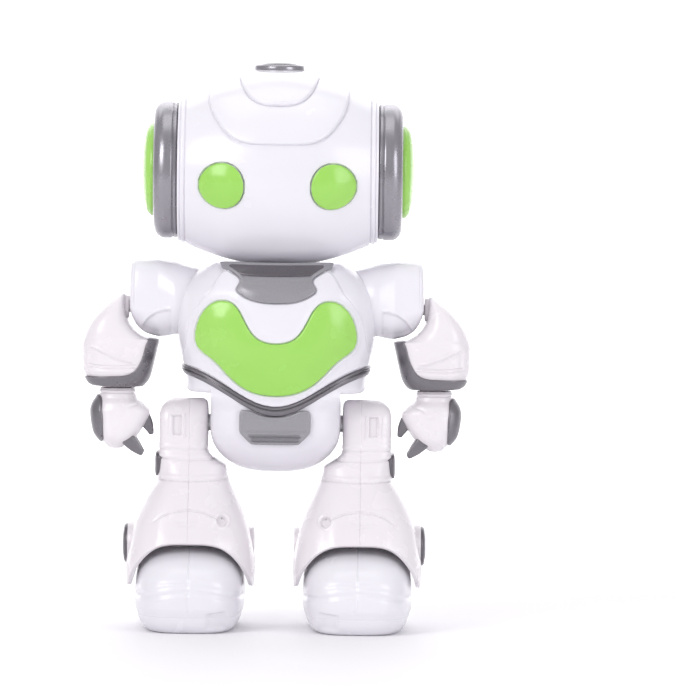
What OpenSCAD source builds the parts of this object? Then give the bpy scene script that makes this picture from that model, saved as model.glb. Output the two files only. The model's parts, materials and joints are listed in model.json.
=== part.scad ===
/* [Stance] */
// Sideways distance from the centre line to the middle of each foot
foot_x = 39.1; // [38:0.1:40]
// Height of the hip axle above the floor
hip_z = 96; // [95:0.5:97]
// Height of the ankle axle above the floor
ankle_z = 39; // [38:0.5:39.5]

/* [Head] */
// Height of the centre of the barrel-shaped head
head_z = 214; // [213.5:0.25:215]
// Radius of the head at its middle
head_r = 44.3; // [43.5:0.1:44.5]
// Half length of the white barrel between the two ear rings
head_half = 46.5; // [45.5:0.25:47]
// Diameter of each eye lens
eye_d = 22; // [18:0.5:23]
// Sideways distance from the centre line to each eye
eye_x = 26; // [24:0.5:27]
// Height of the eyes above the floor
eye_z = 207.4; // [205:0.2:209]

/* [Walls] */
// Wall thickness of the moulded casings
wall_t = 1.8; // [1.5:0.1:2.2]
// How far the chest plate stands off the chest
plate_t = 1.2; // [1:0.1:1.3]

/* [Arms] */
// Height of the shoulder axle above the floor
shoulder_z = 154; // [153.5:0.25:154.5]
// Height of the elbow pin above the floor
elbow_z = 149.7; // [149.5:0.1:150]
// Sideways distance from the centre line to the wrist pin
wrist_x = 74; // [73.5:0.25:74.5]

/* [Axles] */
// Radial running clearance of every axle in its bore
run_c = 0.05; // [0.03:0.01:0.08]
// Radius of the shoulder and hip axles
axle_r = 4; // [3.5:0.1:4.2]
// Radius of the ankle pins
ankle_r = 3; // [2.5:0.1:3.2]
// Radius of the elbow pins
elbow_r = 2.5; // [2:0.1:2.8]

/* [Hidden] */
$fn = 48;
WHITE = [0.94, 0.93, 0.95];
GREEN = [0.55, 0.85, 0.30];
GREY = [0.50, 0.49, 0.52];
DARK = [0.12, 0.12, 0.13];
STEEL = [0.75, 0.75, 0.77];

// Superellipse direction at angle t with exponent n
function se(t, n) = let(c = cos(t), s = sin(t))
  [sign(c) * pow(abs(c), 2 / n), sign(s) * pow(abs(s), 2 / n)];

// Closed wall between two grids of points of the same size. Rows run upwards and
// columns run anticlockwise. ring joins the last column to the first. cap0 and cap1
// close the first and the last row.
module wall(P, Q, ring = false, cap0 = false, cap1 = false, flip = false) {
  R = len(P); C = len(P[0]); M = R * C; L = ring ? C - 1 : C - 2;
  pts = concat([for (r = P) each r], [for (r = Q) each r]);
  outer = [for (i = [0:R-2], j = [0:L]) let(k = (j + 1) % C, a = i*C+j, b = i*C+k, c = (i+1)*C+k, d = (i+1)*C+j)
    each [[a, c, b], [a, d, c]]];
  inner = [for (i = [0:R-2], j = [0:L]) let(k = (j + 1) % C, a = M+i*C+j, b = M+i*C+k, c = M+(i+1)*C+k, d = M+(i+1)*C+j)
    each [[a, b, c], [a, c, d]]];
  fan0 = [for (j = [1:C-2]) each [[0, j, j+1], [M, M+j+1, M+j]]];
  n0 = (R-1)*C;
  fan1 = [for (j = [1:C-2]) each [[n0, n0+j+1, n0+j], [M+n0, M+n0+j, M+n0+j+1]]];
  rim0 = [for (j = [0:L]) let(k = (j + 1) % C) each [[j, k, M+k], [j, M+k, M+j]]];
  rim1 = [for (j = [0:L]) let(k = (j + 1) % C, p = n0+j, q = n0+k) each [[p, M+q, q], [p, M+p, M+q]]];
  side = ring ? [] : [for (i = [0:R-2]) let(a = i*C, b = (i+1)*C, c = i*C+C-1, d = (i+1)*C+C-1)
    each [[a, M+b, b], [a, M+a, M+b], [c, d, M+d], [c, M+d, M+c]]];
  lid0 = !ring && cap0 ? [[0, C-1, M+C-1], [0, M+C-1, M]] : [];
  lid1 = !ring && cap1 ? [[n0, M+n0+C-1, n0+C-1], [n0, M+n0, M+n0+C-1]] : [];
  F = concat(outer, inner, cap0 ? fan0 : rim0, cap1 ? fan1 : rim1, side, lid0, lid1);
  polyhedron(points = pts, faces = flip ? [for (f = F) [f[2], f[1], f[0]]] : F, convexity = 8);
}

// Solid body through closed rings of points, rows upwards, columns anticlockwise
module loft(P, flip = false) {
  R = len(P); C = len(P[0]); n0 = (R-1)*C;
  F = concat(
    [for (i = [0:R-2], j = [0:C-1]) let(k = (j + 1) % C, a = i*C+j, b = i*C+k, c = (i+1)*C+k, d = (i+1)*C+j)
      each [[a, c, b], [a, d, c]]],
    [for (j = [1:C-2]) [0, j, j+1]],
    [for (j = [1:C-2]) [n0, n0+j+1, n0+j]]);
  polyhedron(points = [for (r = P) each r], faces = flip ? [for (f = F) [f[2], f[1], f[0]]] : F, convexity = 8);
}

// A cylinder of radius r along X from x0 to x1, at y and z
module xcyl(x0, x1, r, y, z) translate([x0, y, z]) rotate([0, 90, 0]) cylinder(h = x1 - x0, r = r);
// A box from corner p to corner q
module box(p, q) translate(p) cube(q - p);

// ---- Head, a body of revolution about X ----
function hr(x) = head_r - 0.00541 * x * x;
function hp(x, f, off) = let(r = hr(x) + off) [x, -r * sin(f), head_z + r * cos(f)];
head_xs = [for (i = [-6:6]) i * head_half / 6];
module head_half_shell() {
  prof = concat([for (x = head_xs) [hr(x), x]],
    [[22, head_half], [22, head_half - 2]],
    [for (i = [-6:6]) let(x = -i * (head_half - 2) / 6) [hr(x) - 2, x]],
    [[22, 2 - head_half], [22, -head_half]]);
  difference() {
    union() {
      translate([0, 0, head_z]) rotate([0, 90, 0]) rotate_extrude($fn = 96) polygon(prof);
      translate([0, 0, head_z - head_r + 1]) cylinder(h = 10, r = 12);
    }
    translate([0, 0, 150]) cylinder(h = 50, r = 8 + run_c);
    translate([0, 0, head_z + 30]) cylinder(h = 30, r = 8);
    box([-60, -60, 150], [60, 0, 270]);
  }
}
module eye_place(s) translate([s * eye_x, -sqrt(pow(hr(eye_x), 2) - pow(head_z - eye_z, 2)), eye_z])
  rotate([90 + asin((head_z - eye_z) / hr(eye_x)), 0, s * 15.7]) children();
module head_front_shell() color(WHITE) difference() {
  mirror([0, 1, 0]) head_half_shell();
  for (s = [-1, 1]) eye_place(s) translate([0, 0, -8]) cylinder(h = 16, r = eye_d / 2 - 1);
}
module head_back_shell() color(WHITE) head_half_shell();
// Panel wrapped round the head: rows are angles round it, w gives the half width
module head_panel(rows, w, o0, o1, cols) {
  P = [for (f = rows) [for (j = [0:cols]) hp(lookup(f, w) * (2 * j / cols - 1), f, o1)]];
  Q = [for (f = rows) [for (j = [0:cols]) hp(lookup(f, w) * (2 * j / cols - 1), f, o0)]];
  wall(P, Q, flip = true);
}
brow_w = [[-74, 12], [-72, 17], [-67, 24], [-43, 31.3], [-22, 32.4], [22, 32.4], [43, 31.3], [67, 24], [72, 17], [74, 12]];
module brow_panel() color(WHITE) difference() {
  head_panel([-74, -72, -67, -55, -43, -32, -22, -11, 0, 11, 22, 32, 43, 55, 67, 72, 74], brow_w, 0.35, 1.8, 10);
  translate([0, 0, head_z + 30]) cylinder(h = 30, r = 8);
}
crown_w = [[-48, 5], [-43, 12.3], [-31, 16.3], [-16, 18.2], [16, 18.2], [31, 16.3], [43, 12.3], [48, 5]];
module crown_panel() color(WHITE) difference() {
  head_panel([-48, -43, -37, -31, -23, -16, -8, 0, 8, 16, 23, 31, 37, 43, 48], crown_w, 2.2, 3.4, 6);
  translate([0, 0, head_z + 30]) cylinder(h = 30, r = 8);
}
module ir_window() color(DARK) translate([0, 0, head_z + head_r + 3.5]) {
  rotate_extrude(angle = 360, $fn = 64) polygon([[0, 0], [11.5, 0], [11.4, 0.9], [10, 1.9], [7.5, 2.6], [4, 2.95], [0, 3.05]]);
  translate([0, 0, -9]) cylinder(h = 9, r = 7.8);
}
module eye_lenses() color(GREEN) for (s = [-1, 1]) eye_place(s)
  rotate_extrude(angle = 360, $fn = 64) polygon([[0, -2.4], [eye_d/2 - 1.2, -2.4], [eye_d/2 - 1.2, 0.9], [eye_d/2, 0.9],
    [eye_d/2, 1.5], [eye_d/2 - 0.7, 2.1], [eye_d/2 - 3, 2.9], [eye_d/2 - 7, 3.5], [0, 3.7]]);
module eye_light_board() color([0.1, 0.45, 0.2]) {
  box([-36, -32.4, 198], [36, -30.8, 220]);
  color([0.9, 0.95, 0.9]) for (s = [-1, 1]) translate([s * eye_x, -32.4, eye_z]) rotate([90, 0, 0]) cylinder(h = 3, r = 2.5);
}
module ear_profile(p) translate([0, 0, head_z]) rotate([0, 90, 0]) rotate_extrude(angle = 360, $fn = 96) polygon(p);
module ear_rings() color(GREY) for (s = [0, 1]) mirror([s, 0, 0])
  ear_profile([[20, 46.6], [31.2, 46.6], [31.9, 47.4], [31.9, 50], [31.2, 53.5], [29.6, 56.4], [27, 58], [20, 58]]);
module ear_discs() color(GREEN) for (s = [0, 1]) mirror([s, 0, 0])
  ear_profile([[0, 50], [19.9, 50], [19.9, 58.1], [21.4, 58.1], [21.4, 59.2], [20.6, 60.6], [17, 62.2], [11, 63.3], [0, 63.7]]);

// ---- Torso and pelvis, stacked rounded sections ----
ta = [[100,37],[110,39.6],[119,41.8],[124,43.4],[135,46.2],[145,47],[155,46.3],[163,41],[168,36],[171,30.5],[172,29]];
tb = [[100,28.5],[110,30.5],[119,32.2],[124,33.4],[135,35.5],[145,36],[155,34.5],[163,31],[168,28],[171,24.5],[172,23]];
tn = 2.6;
function zmid(x) = 121.8 - 19 * pow(cos(min(90, 90 * abs(x) / 44)), 2);
function tsurf(x, z, off, s = -1) = let(a = lookup(z, ta) + off, b = lookup(z, tb) + off)
  [x, s * b * pow(max(0, 1 - pow(min(1, abs(x) / a), tn)), 1 / tn), z];
function tring(z0, t, off, dz) = let(e = se(t, tn), x0 = lookup(110, ta) * e[0], lo = zmid(x0) + 2.2, z = max(z0, lo))
  [(lookup(z, ta) - off) * e[0], (lookup(z, tb) - off) * e[1], z - dz];
t_rows = [100, 126, 131, 138, 145, 152, 158, 163, 168, 171];
function half_ts(a) = [for (i = [0:16]) a + i * 180 / 16];
module torso_half(a) {
  P = concat([for (z = t_rows) [for (t = half_ts(a)) tring(z, t, 0, 0)]], [[for (t = half_ts(a)) [15 * cos(t), 15 * sin(t), 169.4]]]);
  Q = concat([for (z = t_rows) [for (t = half_ts(a)) tring(z, t, wall_t, z > 165 ? wall_t * (z - 165) / 6 : 0)]],
    [[for (t = half_ts(a)) [15 * cos(t), 15 * sin(t), 167.6]]]);
  wall(P, Q);
}
module socket_cut() for (s = [0, 1]) mirror([s, 0, 0]) translate([30, 0, shoulder_z]) rotate([0, 90, 0])
  cylinder(h = 26, r1 = 12.3, r2 = 20.1);
module chest_front_shell() color(WHITE) difference() { torso_half(180); socket_cut(); }
module chest_back_shell() color(WHITE) difference() {
  torso_half(0);
  socket_cut();
  box([-3.6, 24, 158], [3.6, 40, 162]);
  box([-23, 20, 119.5], [23, 42, 152]);
  screw_holes(1, 4);
}
// Patch of wall that follows the chest between two curves
module chest_patch(xs, lo, hi, rows, o0, o1, s = -1) {
  P = [for (i = [0:rows]) [for (x = xs) tsurf(x, lookup(abs(x), lo) + (lookup(abs(x), hi) - lookup(abs(x), lo)) * i / rows, o1, s)]];
  Q = [for (i = [0:rows]) [for (x = xs) tsurf(x, lookup(abs(x), lo) + (lookup(abs(x), hi) - lookup(abs(x), lo)) * i / rows, o0, s)]];
  wall(P, Q, flip = s > 0);
}
function sym(v) = concat([for (i = [len(v)-1:-1:1]) -v[i]], v);
module chest_plate() color(WHITE)
  chest_patch(sym([0, 7, 14, 20, 25, 28, 31, 34, 37, 39, 40.5]), [for (x = [0:2:46]) [x, zmid(x) + 2.6]],
    [[0,167],[22,167],[26,165],[29,161],[33,155],[37.5,149],[39.5,144],[40.5,138]], 8, 0.35, 0.35 + plate_t);
module chest_shield() color(GREEN)
  chest_patch(sym([0, 4.5, 9, 14, 18.2, 21.9, 24.5, 27, 30, 33, 35.2, 36.6]),
    [[0,110.5],[9.5,111.8],[15,114],[19,117],[24,123],[28.4,127.9],[33,131],[35.2,133.5],[36.6,136.5]],
    [[0,134.4],[4.5,134.8],[9,136.2],[14,141.4],[18.2,149.7],[21.9,153],[27,153.4],[30,151.5],[33,148],[35.2,144],[36.6,139]], 5, 1.95, 3.2);
module neck_collar() color(GREY)
  chest_patch(sym([0, 5, 9, 13, 16, 18.5, 22, 25.5]), [[0,153],[5,153.2],[9,153.8],[13,155.3],[16,157.5],[18.5,161],[22,165.5],[25.5,168.3]],
    [[0,170],[22,170],[25.5,169.6]], 4, 1.95, 3.0);
module waist_half(a) {
  function wp(t, k, off) = let(e = se(t, tn), x0 = lookup(110, ta) * e[0], z = zmid(x0) + k) [(lookup(z, ta) + off) * e[0], (lookup(z, tb) + off) * e[1], z];
  P = [for (k = [-2, 0, 2]) [for (t = half_ts(a)) wp(t, k, k == 0 ? 1.6 : 1.1)]];
  Q = [for (k = [-2, 0, 2]) [for (t = half_ts(a)) wp(t, k, -2.5)]];
  wall(P, Q);
}
module waist_band() color(GREY) { waist_half(180); waist_half(0); }
pa = [[73.5,8],[75,14],[77.5,20],[80.4,24.4],[84,27.6],[88,29.5],[92,30.4],[118,30.4]];
pb = [[73.5,8],[75,13],[77.5,17.5],[80.4,21],[84,24],[88,26],[92,27.3],[101,28],[110,28.4],[118,29]];
pn = [[73.5,2.2],[80,2.6],[88,3.4],[96,4.2],[118,4.4]];
module pelvis_half(a) {
  rows = [73.5, 75, 77.5, 80.4, 84, 88, 92, 96, 99, 116];
  function pp(z0, t, off, dz) = let(e = se(t, lookup(z0, pn)), z = min(z0, zmid(30.4 * e[0]) - 2.2))
    [(lookup(z, pa) - off) * e[0], (lookup(z, pb) - off) * e[1], z + dz];
  P = [for (z = rows) [for (t = half_ts(a)) pp(z, t, 0, 0)]];
  Q = [for (z = rows) [for (t = half_ts(a)) pp(z, t, wall_t, z < 80 ? wall_t * (80 - z) / 6.5 : 0)]];
  wall(P, Q, cap0 = true);
}
// Skirt of the hips, on one side of the pelvis: from the bowl out to the waist band
module hip_skirt(s, f) {
  function top(x) = zmid(0.95 * x) - 2.7;
  function xi(y) = max(24, 30.4 * pow(max(0, 1 - pow(abs(y) / 28.4, 4.4)), 1 / 4.4) - 0.6);
  function xo(y) = max(xi(y) + 1.2, 41.6 * pow(max(0, 1 - pow(abs(y) / 31.5, tn)), 1 / tn));
  P = [for (i = [0:8]) let(y = f * i * 27 / 8, a = xi(y), b = xo(y))
    [[s * a, y, 110.8], [s * b, y, 110.8], [s * b, y, max(111.3, top(b))], [s * a, y, max(111.3, top(a))]]];
  loft(P, flip = s * f > 0);
}
module pelvis_front_shell() color(WHITE) difference() {
  union() { pelvis_half(180); for (s = [-1, 1]) hip_skirt(s, -1); }
  xcyl(-50, 50, axle_r, 0, hip_z);
}
module pelvis_back_shell() color(WHITE) difference() {
  union() { pelvis_half(0); for (s = [-1, 1]) hip_skirt(s, 1); }
  xcyl(-50, 50, axle_r, 0, hip_z);
  screw_holes(5, 6);
}
function psurf(x, z, off) = let(a = lookup(z, pa) + off, b = lookup(z, pb) + off, n = lookup(z, pn))
  [x, -b * pow(max(0, 1 - pow(min(1, abs(x) / a), n)), 1 / n), z];
module belly_plate() color(GREY) {
  xs = sym([0, 5, 9, 11, 14, 16.5]);
  lo = [[0,87.4],[11,87.4],[14,90.5],[16.5,93.5]];
  hi = [for (x = [0:1:17]) [x, min(zmid(x) - 2.7, 102.8)]];
  P = [for (i = [0:4]) [for (x = xs) let(l = lookup(abs(x), lo), h = lookup(abs(x), hi)) psurf(x, l + (h - l) * i / 4, 1.9)]];
  Q = [for (i = [0:4]) [for (x = xs) let(l = lookup(abs(x), lo), h = lookup(abs(x), hi)) psurf(x, l + (h - l) * i / 4, 0.4)]];
  wall(P, Q);
}
module battery_tray() color(DARK) difference() {
  box([-27.4, 1, 122.6], [27.4, 25.5, 154.4]);
  box([-26.2, 2.5, 124], [26.2, 40, 153.1]);
}
module battery_cells() color(STEEL) for (i = [0, 1]) translate([0, 10, 131.2 + i * 14.5]) {
  xcyl(-25.2, 24.2, 7.2, 0, 0);
  xcyl(24.2, 25.3, 2.6, 0, 0);
}
module battery_contacts() color(STEEL) for (i = [0, 1], s = [-1, 1])
  box([s * 25.75 - 0.4, 6, 127.2 + i * 14.5], [s * 25.75 + 0.4, 14, 135.2 + i * 14.5]);
module battery_door() color(WHITE) difference() {
  chest_patch(sym([0, 5.5, 11, 16.5, 22]), [[0,120.2],[22,120.2]], [[0,151.4],[22,151.4]], 6, -1.6, 0.4, 1);
  translate([0, 20, 147]) rotate([-90, 0, 0]) cylinder(h = 30, r = 2.7);
}
module control_board() color([0.1, 0.45, 0.2]) {
  box([-27.5, -9.6, 122], [27.5, -8, 155]);
  color(DARK) { box([-9, -11.6, 136], [9, -9.6, 148]); box([14, -12.1, 128], [24, -9.6, 134]); }
  color(STEEL) for (x = [-24, -17]) translate([x, -9.6, 131]) rotate([90, 0, 0]) cylinder(h = 8, r = 2.5);
}
module speaker() color(DARK) translate([0, -20.5, 138]) rotate([-90, 0, 0])
  rotate_extrude(angle = 360) polygon([[0, 1.5], [10, 0], [14, 0], [14, 1.4], [11, 4.5], [7, 4.8], [7, 8.4], [0, 8.4]]);
module walk_gearbox() color([0.85, 0.85, 0.8]) difference() {
  union() { box([-17, -12, 84], [17, 12, 112]); xcyl(-12, 14, 6, 0, 114); xcyl(14, 18, 1, 0, 114); }
  xcyl(-40, 40, axle_r, 0, hip_z);
}
module hip_shaft() color(STEEL) xcyl(-51.5, 51.5, axle_r, 0, hip_z);
module shoulder_bushes() color(DARK) for (s = [0, 1]) mirror([s, 0, 0]) difference() {
  union() { box([29.5, -12, 143], [31.5, 12, 163]); xcyl(28.5, 34.5, 6.5, 0, shoulder_z); }
  xcyl(10, 50, axle_r + run_c, 0, shoulder_z);
}
module neck_post() color(GREY) {
  translate([0, 0, 157]) cylinder(h = 5, r = 17.5);
  translate([0, 0, 162]) cylinder(h = 7, r = 13);
  translate([0, 0, 169]) cylinder(h = 12.6, r = 8);
  translate([0, 0, 181.6]) cylinder(h = 3, r = 11);
}
screw_ps = [[0, 36.2, 147], [33, 26.3, 130], [-33, 26.3, 130], [25, 26, 160], [-25, 26, 160], [14, 23.6, 90], [-14, 23.6, 90]];
module body_screws() color(STEEL) for (p = screw_ps) translate(p) rotate([90, 0, 0]) difference() {
  union() { cylinder(h = 1.8, r = 2.3); cylinder(h = 9, r = 1.2); }
  for (a = [0, 90]) rotate([0, 0, a]) translate([-1.4, -0.25, -0.1]) cube([2.8, 0.5, 0.9]);
}
module screw_holes(i0, i1) for (i = [i0:i1]) translate([screw_ps[i][0], 5, screw_ps[i][2]]) rotate([-90, 0, 0]) cylinder(h = 45, r = 2.4);
module power_switch_knob() color(DARK) {
  box([-2.9, 28.5, 158.4], [-0.1, 33.6, 161.6]);
  box([-3.9, 33.6, 157.6], [0.9, 35.4, 162.4]);
}

// ---- Arm, drawn on the +X side ----
// Sections along X: x, centre height, half depth, height above, height below, upper exponent, lower exponent
sh = [[35.5,154,13.6,13.6,13.6,2,2],[47,154,17,17,17,2,2],[50,152.8,16.1,18.6,16.3,2.3,2],[53,150.8,14.8,21,14.8,2.8,2],
  [56,149.7,13.8,22.5,13.6,3.2,2],[60,149.7,13.8,22.6,12.6,3.2,1.9],[64,149.7,13.6,22.5,10.2,3.2,1.8],
  [66.4,149.7,13.2,22,7.2,3.2,1.8],[67.9,149.7,12.3,20.9,4,3,1.8],[68.5,149.7,11,19.3,1.6,2.8,1.8]];
function shp(r, t, o, dx) = let(u = sin(t) >= 0, n = u ? r[5] : r[6], e = se(t, n)) [r[0] - dx, (r[2] - o) * e[0], r[1] + ((u ? r[3] : r[4]) - min(o, r[4] * 0.6)) * e[1]];
module shoulder_shell() color(WHITE) difference() {
  wall([for (r = sh) [for (j = [0:23]) shp(r, j * 15, 0, 0)]],
    [for (r = sh) [for (j = [0:23]) shp(r, j * 15, wall_t, r[0] > 60 ? wall_t * (r[0] - 60) / 8.5 : 0)]], ring = true, cap1 = true);
  xcyl(60, 80, elbow_r, 0, elbow_z);
}
module arm_axle() color(DARK) {
  xcyl(28, 40, axle_r, 0, shoulder_z);
  xcyl(36.2, 40, 11, 0, shoulder_z);
  box([40, -5, 147.5], [62, 5, 156]);
  xcyl(62, 75, elbow_r, 0, elbow_z);
}
// Sections up the sleeve: z, inner x, outer x, half depth, exponent
fa = [[112.5,62.8,86.2,13,2.6],[115,60.6,88,14.9,2.8],[117.5,59.4,89.2,15.8,2.9],[123.5,57.8,90.8,17,3],[131.5,56,91,17.3,3],
  [134.6,55.4,90.4,17.2,3],[135.6,61.2,90,17.1,3],[138.5,65.8,89,16.8,3],[143,69.3,86.6,15.6,2.8],[147,70.4,83.5,14,2.6],
  [151,70.7,79.3,11.6,2.4],[154,70.8,75.6,9,2.2],[155.6,71,73.2,6.5,2]];
function fap(r, t, o, dz) = let(e = se(t, r[4]), cx = (r[1] + r[2]) / 2) [cx + ((r[2] - r[1]) / 2 - min(o, (r[2] - r[1]) / 2 - 0.5)) * e[0], (r[3] - o) * e[1], r[0] - dz];
fa_dz = [0, 0, 0, 0, 0, 1.6, 1.8, 1.8, 1.6, 1.4, 1.5, 1.7, 1.9];
module forearm_shell() color(WHITE) difference() {
  union() {
    wall([for (r = fa) [for (j = [0:23]) fap(r, j * 15, 0, 0)]],
      [for (i = [0:12]) [for (j = [0:23]) fap(fa[i], j * 15, wall_t, fa_dz[i])]], ring = true, cap1 = true);
    intersection() {
      loft([for (r = fa) [for (j = [0:23]) fap(r, j * 15, 1, 0)]]);
      xcyl(69, 82, 6, 0, elbow_z);
    }
    intersection() {
      loft([for (i = [1:3]) [for (j = [0:23]) fap(fa[i], j * 15, 1, 0)]]);
      box([55, -20, 116], [95, 20, 119]);
    }
  }
  xcyl(60, 75.4, elbow_r + run_c, 0, elbow_z);
  translate([wrist_x, 0, 100]) cylinder(h = 30, r = axle_r + run_c);
}
module forearm_trim() color(GREY) {
  wall([for (i = [0:2]) [for (j = [0:23]) fap(fa[i], j * 15, -0.9, 0)]], [for (i = [0:2]) [for (j = [0:23]) fap(fa[i], j * 15, 0, 0)]], ring = true);
  wall([for (i = [2:5]) [for (j = [8:16]) fap(fa[i], j * 15, -0.9, 0)]], [for (i = [2:5]) [for (j = [8:16]) fap(fa[i], j * 15, 0, 0)]]);
}
ha = [[84.4,71,78.5,7,2.2],[87,67,81,10,2.4],[90,64.2,83,11.8,2.6],[94.5,61.4,84.4,12.5,2.8],[101,58.8,85.2,12.3,2.8],
  [104.5,61.5,84.3,11.3,2.6],[107.5,65.2,83,9.4,2.4],[112,66,82.2,8.6,2.4]];
module hand_solid() loft([for (r = ha) [for (j = [0:19]) fap(r, j * 18, 0, 0)]]);
// Tapered claw through the points q with radii r
module claw(q, r) loft([for (i = [0:len(q)-1]) [for (j = [0:7]) let(a = j * 45 + 22.5) q[i] + [0.75 * r[i] * cos(a), r[i] * sin(a), 0]]]);
module claws_raw() {
  claw([[58.2,-1,90.2],[58.8,-1,92.5],[60.4,-1,96],[62.6,-1,99]], [0.9, 2, 2.9, 3.1]);
  for (y = [-7.4, 0, 7.4]) claw([[62.4,y,81],[64,y,82.6],[67.2,y*0.95,86],[70,y*0.9,89.5]], [0.9, 1.9, 2.9, 3.1]);
}
module hand_shell() color(WHITE) {
  difference() { hand_solid(); claws_raw(); }
  translate([wrist_x, 0, 112]) cylinder(h = 8.5, r = axle_r);
  translate([wrist_x, 0, 119.4]) cylinder(h = 1.8, r = axle_r + 2.2);
}
module hand_claws() color(GREY) claws_raw();
module hand_pad() color(GREY)
  wall([for (i = [1:6]) [for (j = [-3:3]) fap(ha[i], j * 18, i == 1 || i == 6 ? -0.5 : -1.5, 0)]], [for (i = [1:6]) [for (j = [-3:3]) fap(ha[i], j * 18, 0, 0)]]);

// ---- Leg, drawn on the +X side ----
seam_x = 40;
lxl = [[20,9.6],[29,8.9],[41,10.2],[46.5,11.4],[56,14.8],[66,19.6],[71,21.8],[76,22.8],[78.5,26.5],[81,30.2],[84,31.3],[108,31.3]];
lxr = [[20,68.4],[29,69],[41,67.3],[46.5,66.3],[56,62.6],[66,57],[69,54.8],[76,54.4],[108,54.4]];
lb = [[20,37],[29,36.5],[41,33.5],[50,29.5],[60,24.5],[66,21],[71,18],[76,15.5],[81,13],[85,11.9],[96,11.6],[108,11.6]];
ln = [[20,3.6],[46,3.3],[60,2.9],[66,2.8],[78,3.2],[84,5],[108,5]];
function leg_in(s, z) = let(r = s > 0 ? 8 : 2.6, z0 = 107.6 - r) z > z0 ? r - sqrt(max(0, r * r - pow(z - z0, 2))) : 0;
function leg_bz(z) = z > hip_z ? sqrt(max(0, 11.6 * 11.6 - pow(z - hip_z, 2))) : lookup(z, lb);
l_rows = [107.2, 105.6, 103, 99.5, 96, 88, 84, 81, 78.5, 76, 71, 66, 56, 46.5];
function lp(s, i, t, o) = let(
    e0 = se(t, 2.6), zb = 41 - 21 * pow(abs(e0[0]), 3),
    z = i < 14 ? l_rows[i] : 46.5 + (zb - 46.5) * (i - 13) / 2,
    zi = z > hip_z ? hip_z + (z - hip_z) * (1 - o / 11.6) : z,
    e = se(t, lookup(z, ln)), b = z > hip_z ? leg_bz(z) * (1 - o / 11.6) : lookup(z, lb) - o,
    h = (s > 0 ? lookup(z, lxr) - seam_x : seam_x - lookup(z, lxl)) - leg_in(s, z))
  [seam_x + s * (h - o) * e[0], b * e[1], zi];
module leg_half(s) {
  P = [for (i = [15:-1:0]) [for (j = [-6:6]) lp(s, i, j * 15, 0)]];
  Q = [for (i = [15:-1:0]) [for (j = [-6:6]) lp(s, i, j * 15, 2)]];
  wall(P, Q, flip = s < 0);
}
module leg_outer_shell() color(WHITE) difference() {
  union() { leg_half(1); xcyl(40, 53.2, 7.2, 0, hip_z); }
  xcyl(30, 51.7, axle_r + run_c, 0, hip_z);
  xcyl(60, 80, 9.5, 0, ankle_z);
}
module leg_inner_shell() color(WHITE) difference() {
  union() { leg_half(-1); xcyl(32.4, 40, 10.4, 0, hip_z); xcyl(9.3, 13, 8.4, 0, ankle_z); }
  xcyl(30, 51.7, axle_r + run_c, 0, hip_z);
  xcyl(10.5, 20, ankle_r, 0, ankle_z);
}
module leg_accents() color(GREY) {
  difference() {
    union() { xcyl(64, 69.2, 9.4, 0, ankle_z); xcyl(69.2, 70.6, 8.2, 0, ankle_z); }
    xcyl(60, 66, ankle_r, 0, ankle_z);
  }
  wall([for (z = [70.5, 72.5, 76, 80, 82.5]) [for (y = [-9:3:9]) [lookup(z, lxr) + (abs(y) > 8 || z < 71 || z > 82 ? 0.7 : 1.3), y, z]]],
    [for (z = [70.5, 72.5, 76, 80, 82.5]) [for (y = [-9:3:9]) [lookup(z, lxr) + 0.1, y, z]]]);
}
module ankle_pin() color(STEEL) xcyl(10.5, 66, ankle_r, 0, ankle_z);

// ---- Foot, drawn on the +X side ----
fo = [[7.9,24.4,45.4,3.3],[12,25.2,46.3,3.3],[17.5,25.4,46.3,3.3],[24,25.1,44.5,3.2],[29,24.3,41,3],[33,22.6,36,2.9],[36.5,19.6,29.5,2.7],
  [39,15.5,22,2.5],[40.6,10,13.5,2.3]];
function fop(r, t, o, dz) = let(e = se(t, r[3])) [foot_x + (r[1] - o) * e[0], (r[2] - o) * e[1], r[0] - dz];
module foot_shell() color(WHITE) difference() {
  union() {
    wall([for (r = fo) [for (j = [0:27]) fop(r, j * 360 / 28, 0, 0)]],
      [for (r = fo) [for (j = [0:27]) fop(r, j * 360 / 28, 2, 2 * max(0, r[0] - 24) / 17)]], ring = true, cap1 = true);
    difference() { xcyl(30, 48.4, 7, 0, ankle_z); box([20, -20, 20], [60, 20, ankle_z - 5]); }
  }
  xcyl(10, 70, ankle_r + run_c, 0, ankle_z);
}
fs = [[0,18.6,39.6,3.3],[0.9,20.3,41.3,3.3],[2.4,21.9,42.9,3.3],[4.6,23.3,44.3,3.3],[7.6,24.3,45.3,3.3]];
fs_in = [[2.4,19.8,40.8,3.3],[4.6,21.3,42.3,3.3],[20,22.3,43.3,3.3]];
wheel_y = 19.6;
wheel_dx = 10.6;
module foot_sole() color(WHITE) difference() {
  union() {
    difference() {
      loft([for (r = fs) [for (j = [0:27]) fop(r, j * 360 / 28, 0, 0)]]);
      loft([for (r = fs_in) [for (j = [0:27]) fop(r, j * 360 / 28, 0, 0)]]);
    }
    for (s = [-1, 1]) box([foot_x + s * 3.5 - 1.6, wheel_y - 6, 1], [foot_x + s * 3.5 + 1.6, wheel_y + 6, 12.5]);
  }
  for (s = [-1, 1]) box([foot_x + s * wheel_dx - 4.8, wheel_y - 9.4, -1], [foot_x + s * wheel_dx + 4.8, wheel_y + 9.4, 20]);
  xcyl(foot_x - 9, foot_x + 9, 1.5 + run_c, wheel_y, 8.2);
}
module foot_motor() color([0.85, 0.85, 0.8]) {
  box([foot_x - 14, -24, 2.6], [foot_x + 14, 4, 22]);
  color(STEEL) translate([foot_x, 4, 14]) rotate([-90, 0, 0]) cylinder(h = 4, r = 2);
}
module drive_wheels() color(DARK) {
  xcyl(foot_x - wheel_dx, foot_x + wheel_dx, 1.5, wheel_y, 8.2);
  for (s = [-1, 1]) xcyl(foot_x + s * wheel_dx - 3.8, foot_x + s * wheel_dx + 3.8, 8.1, wheel_y, 8.2);
}

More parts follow.
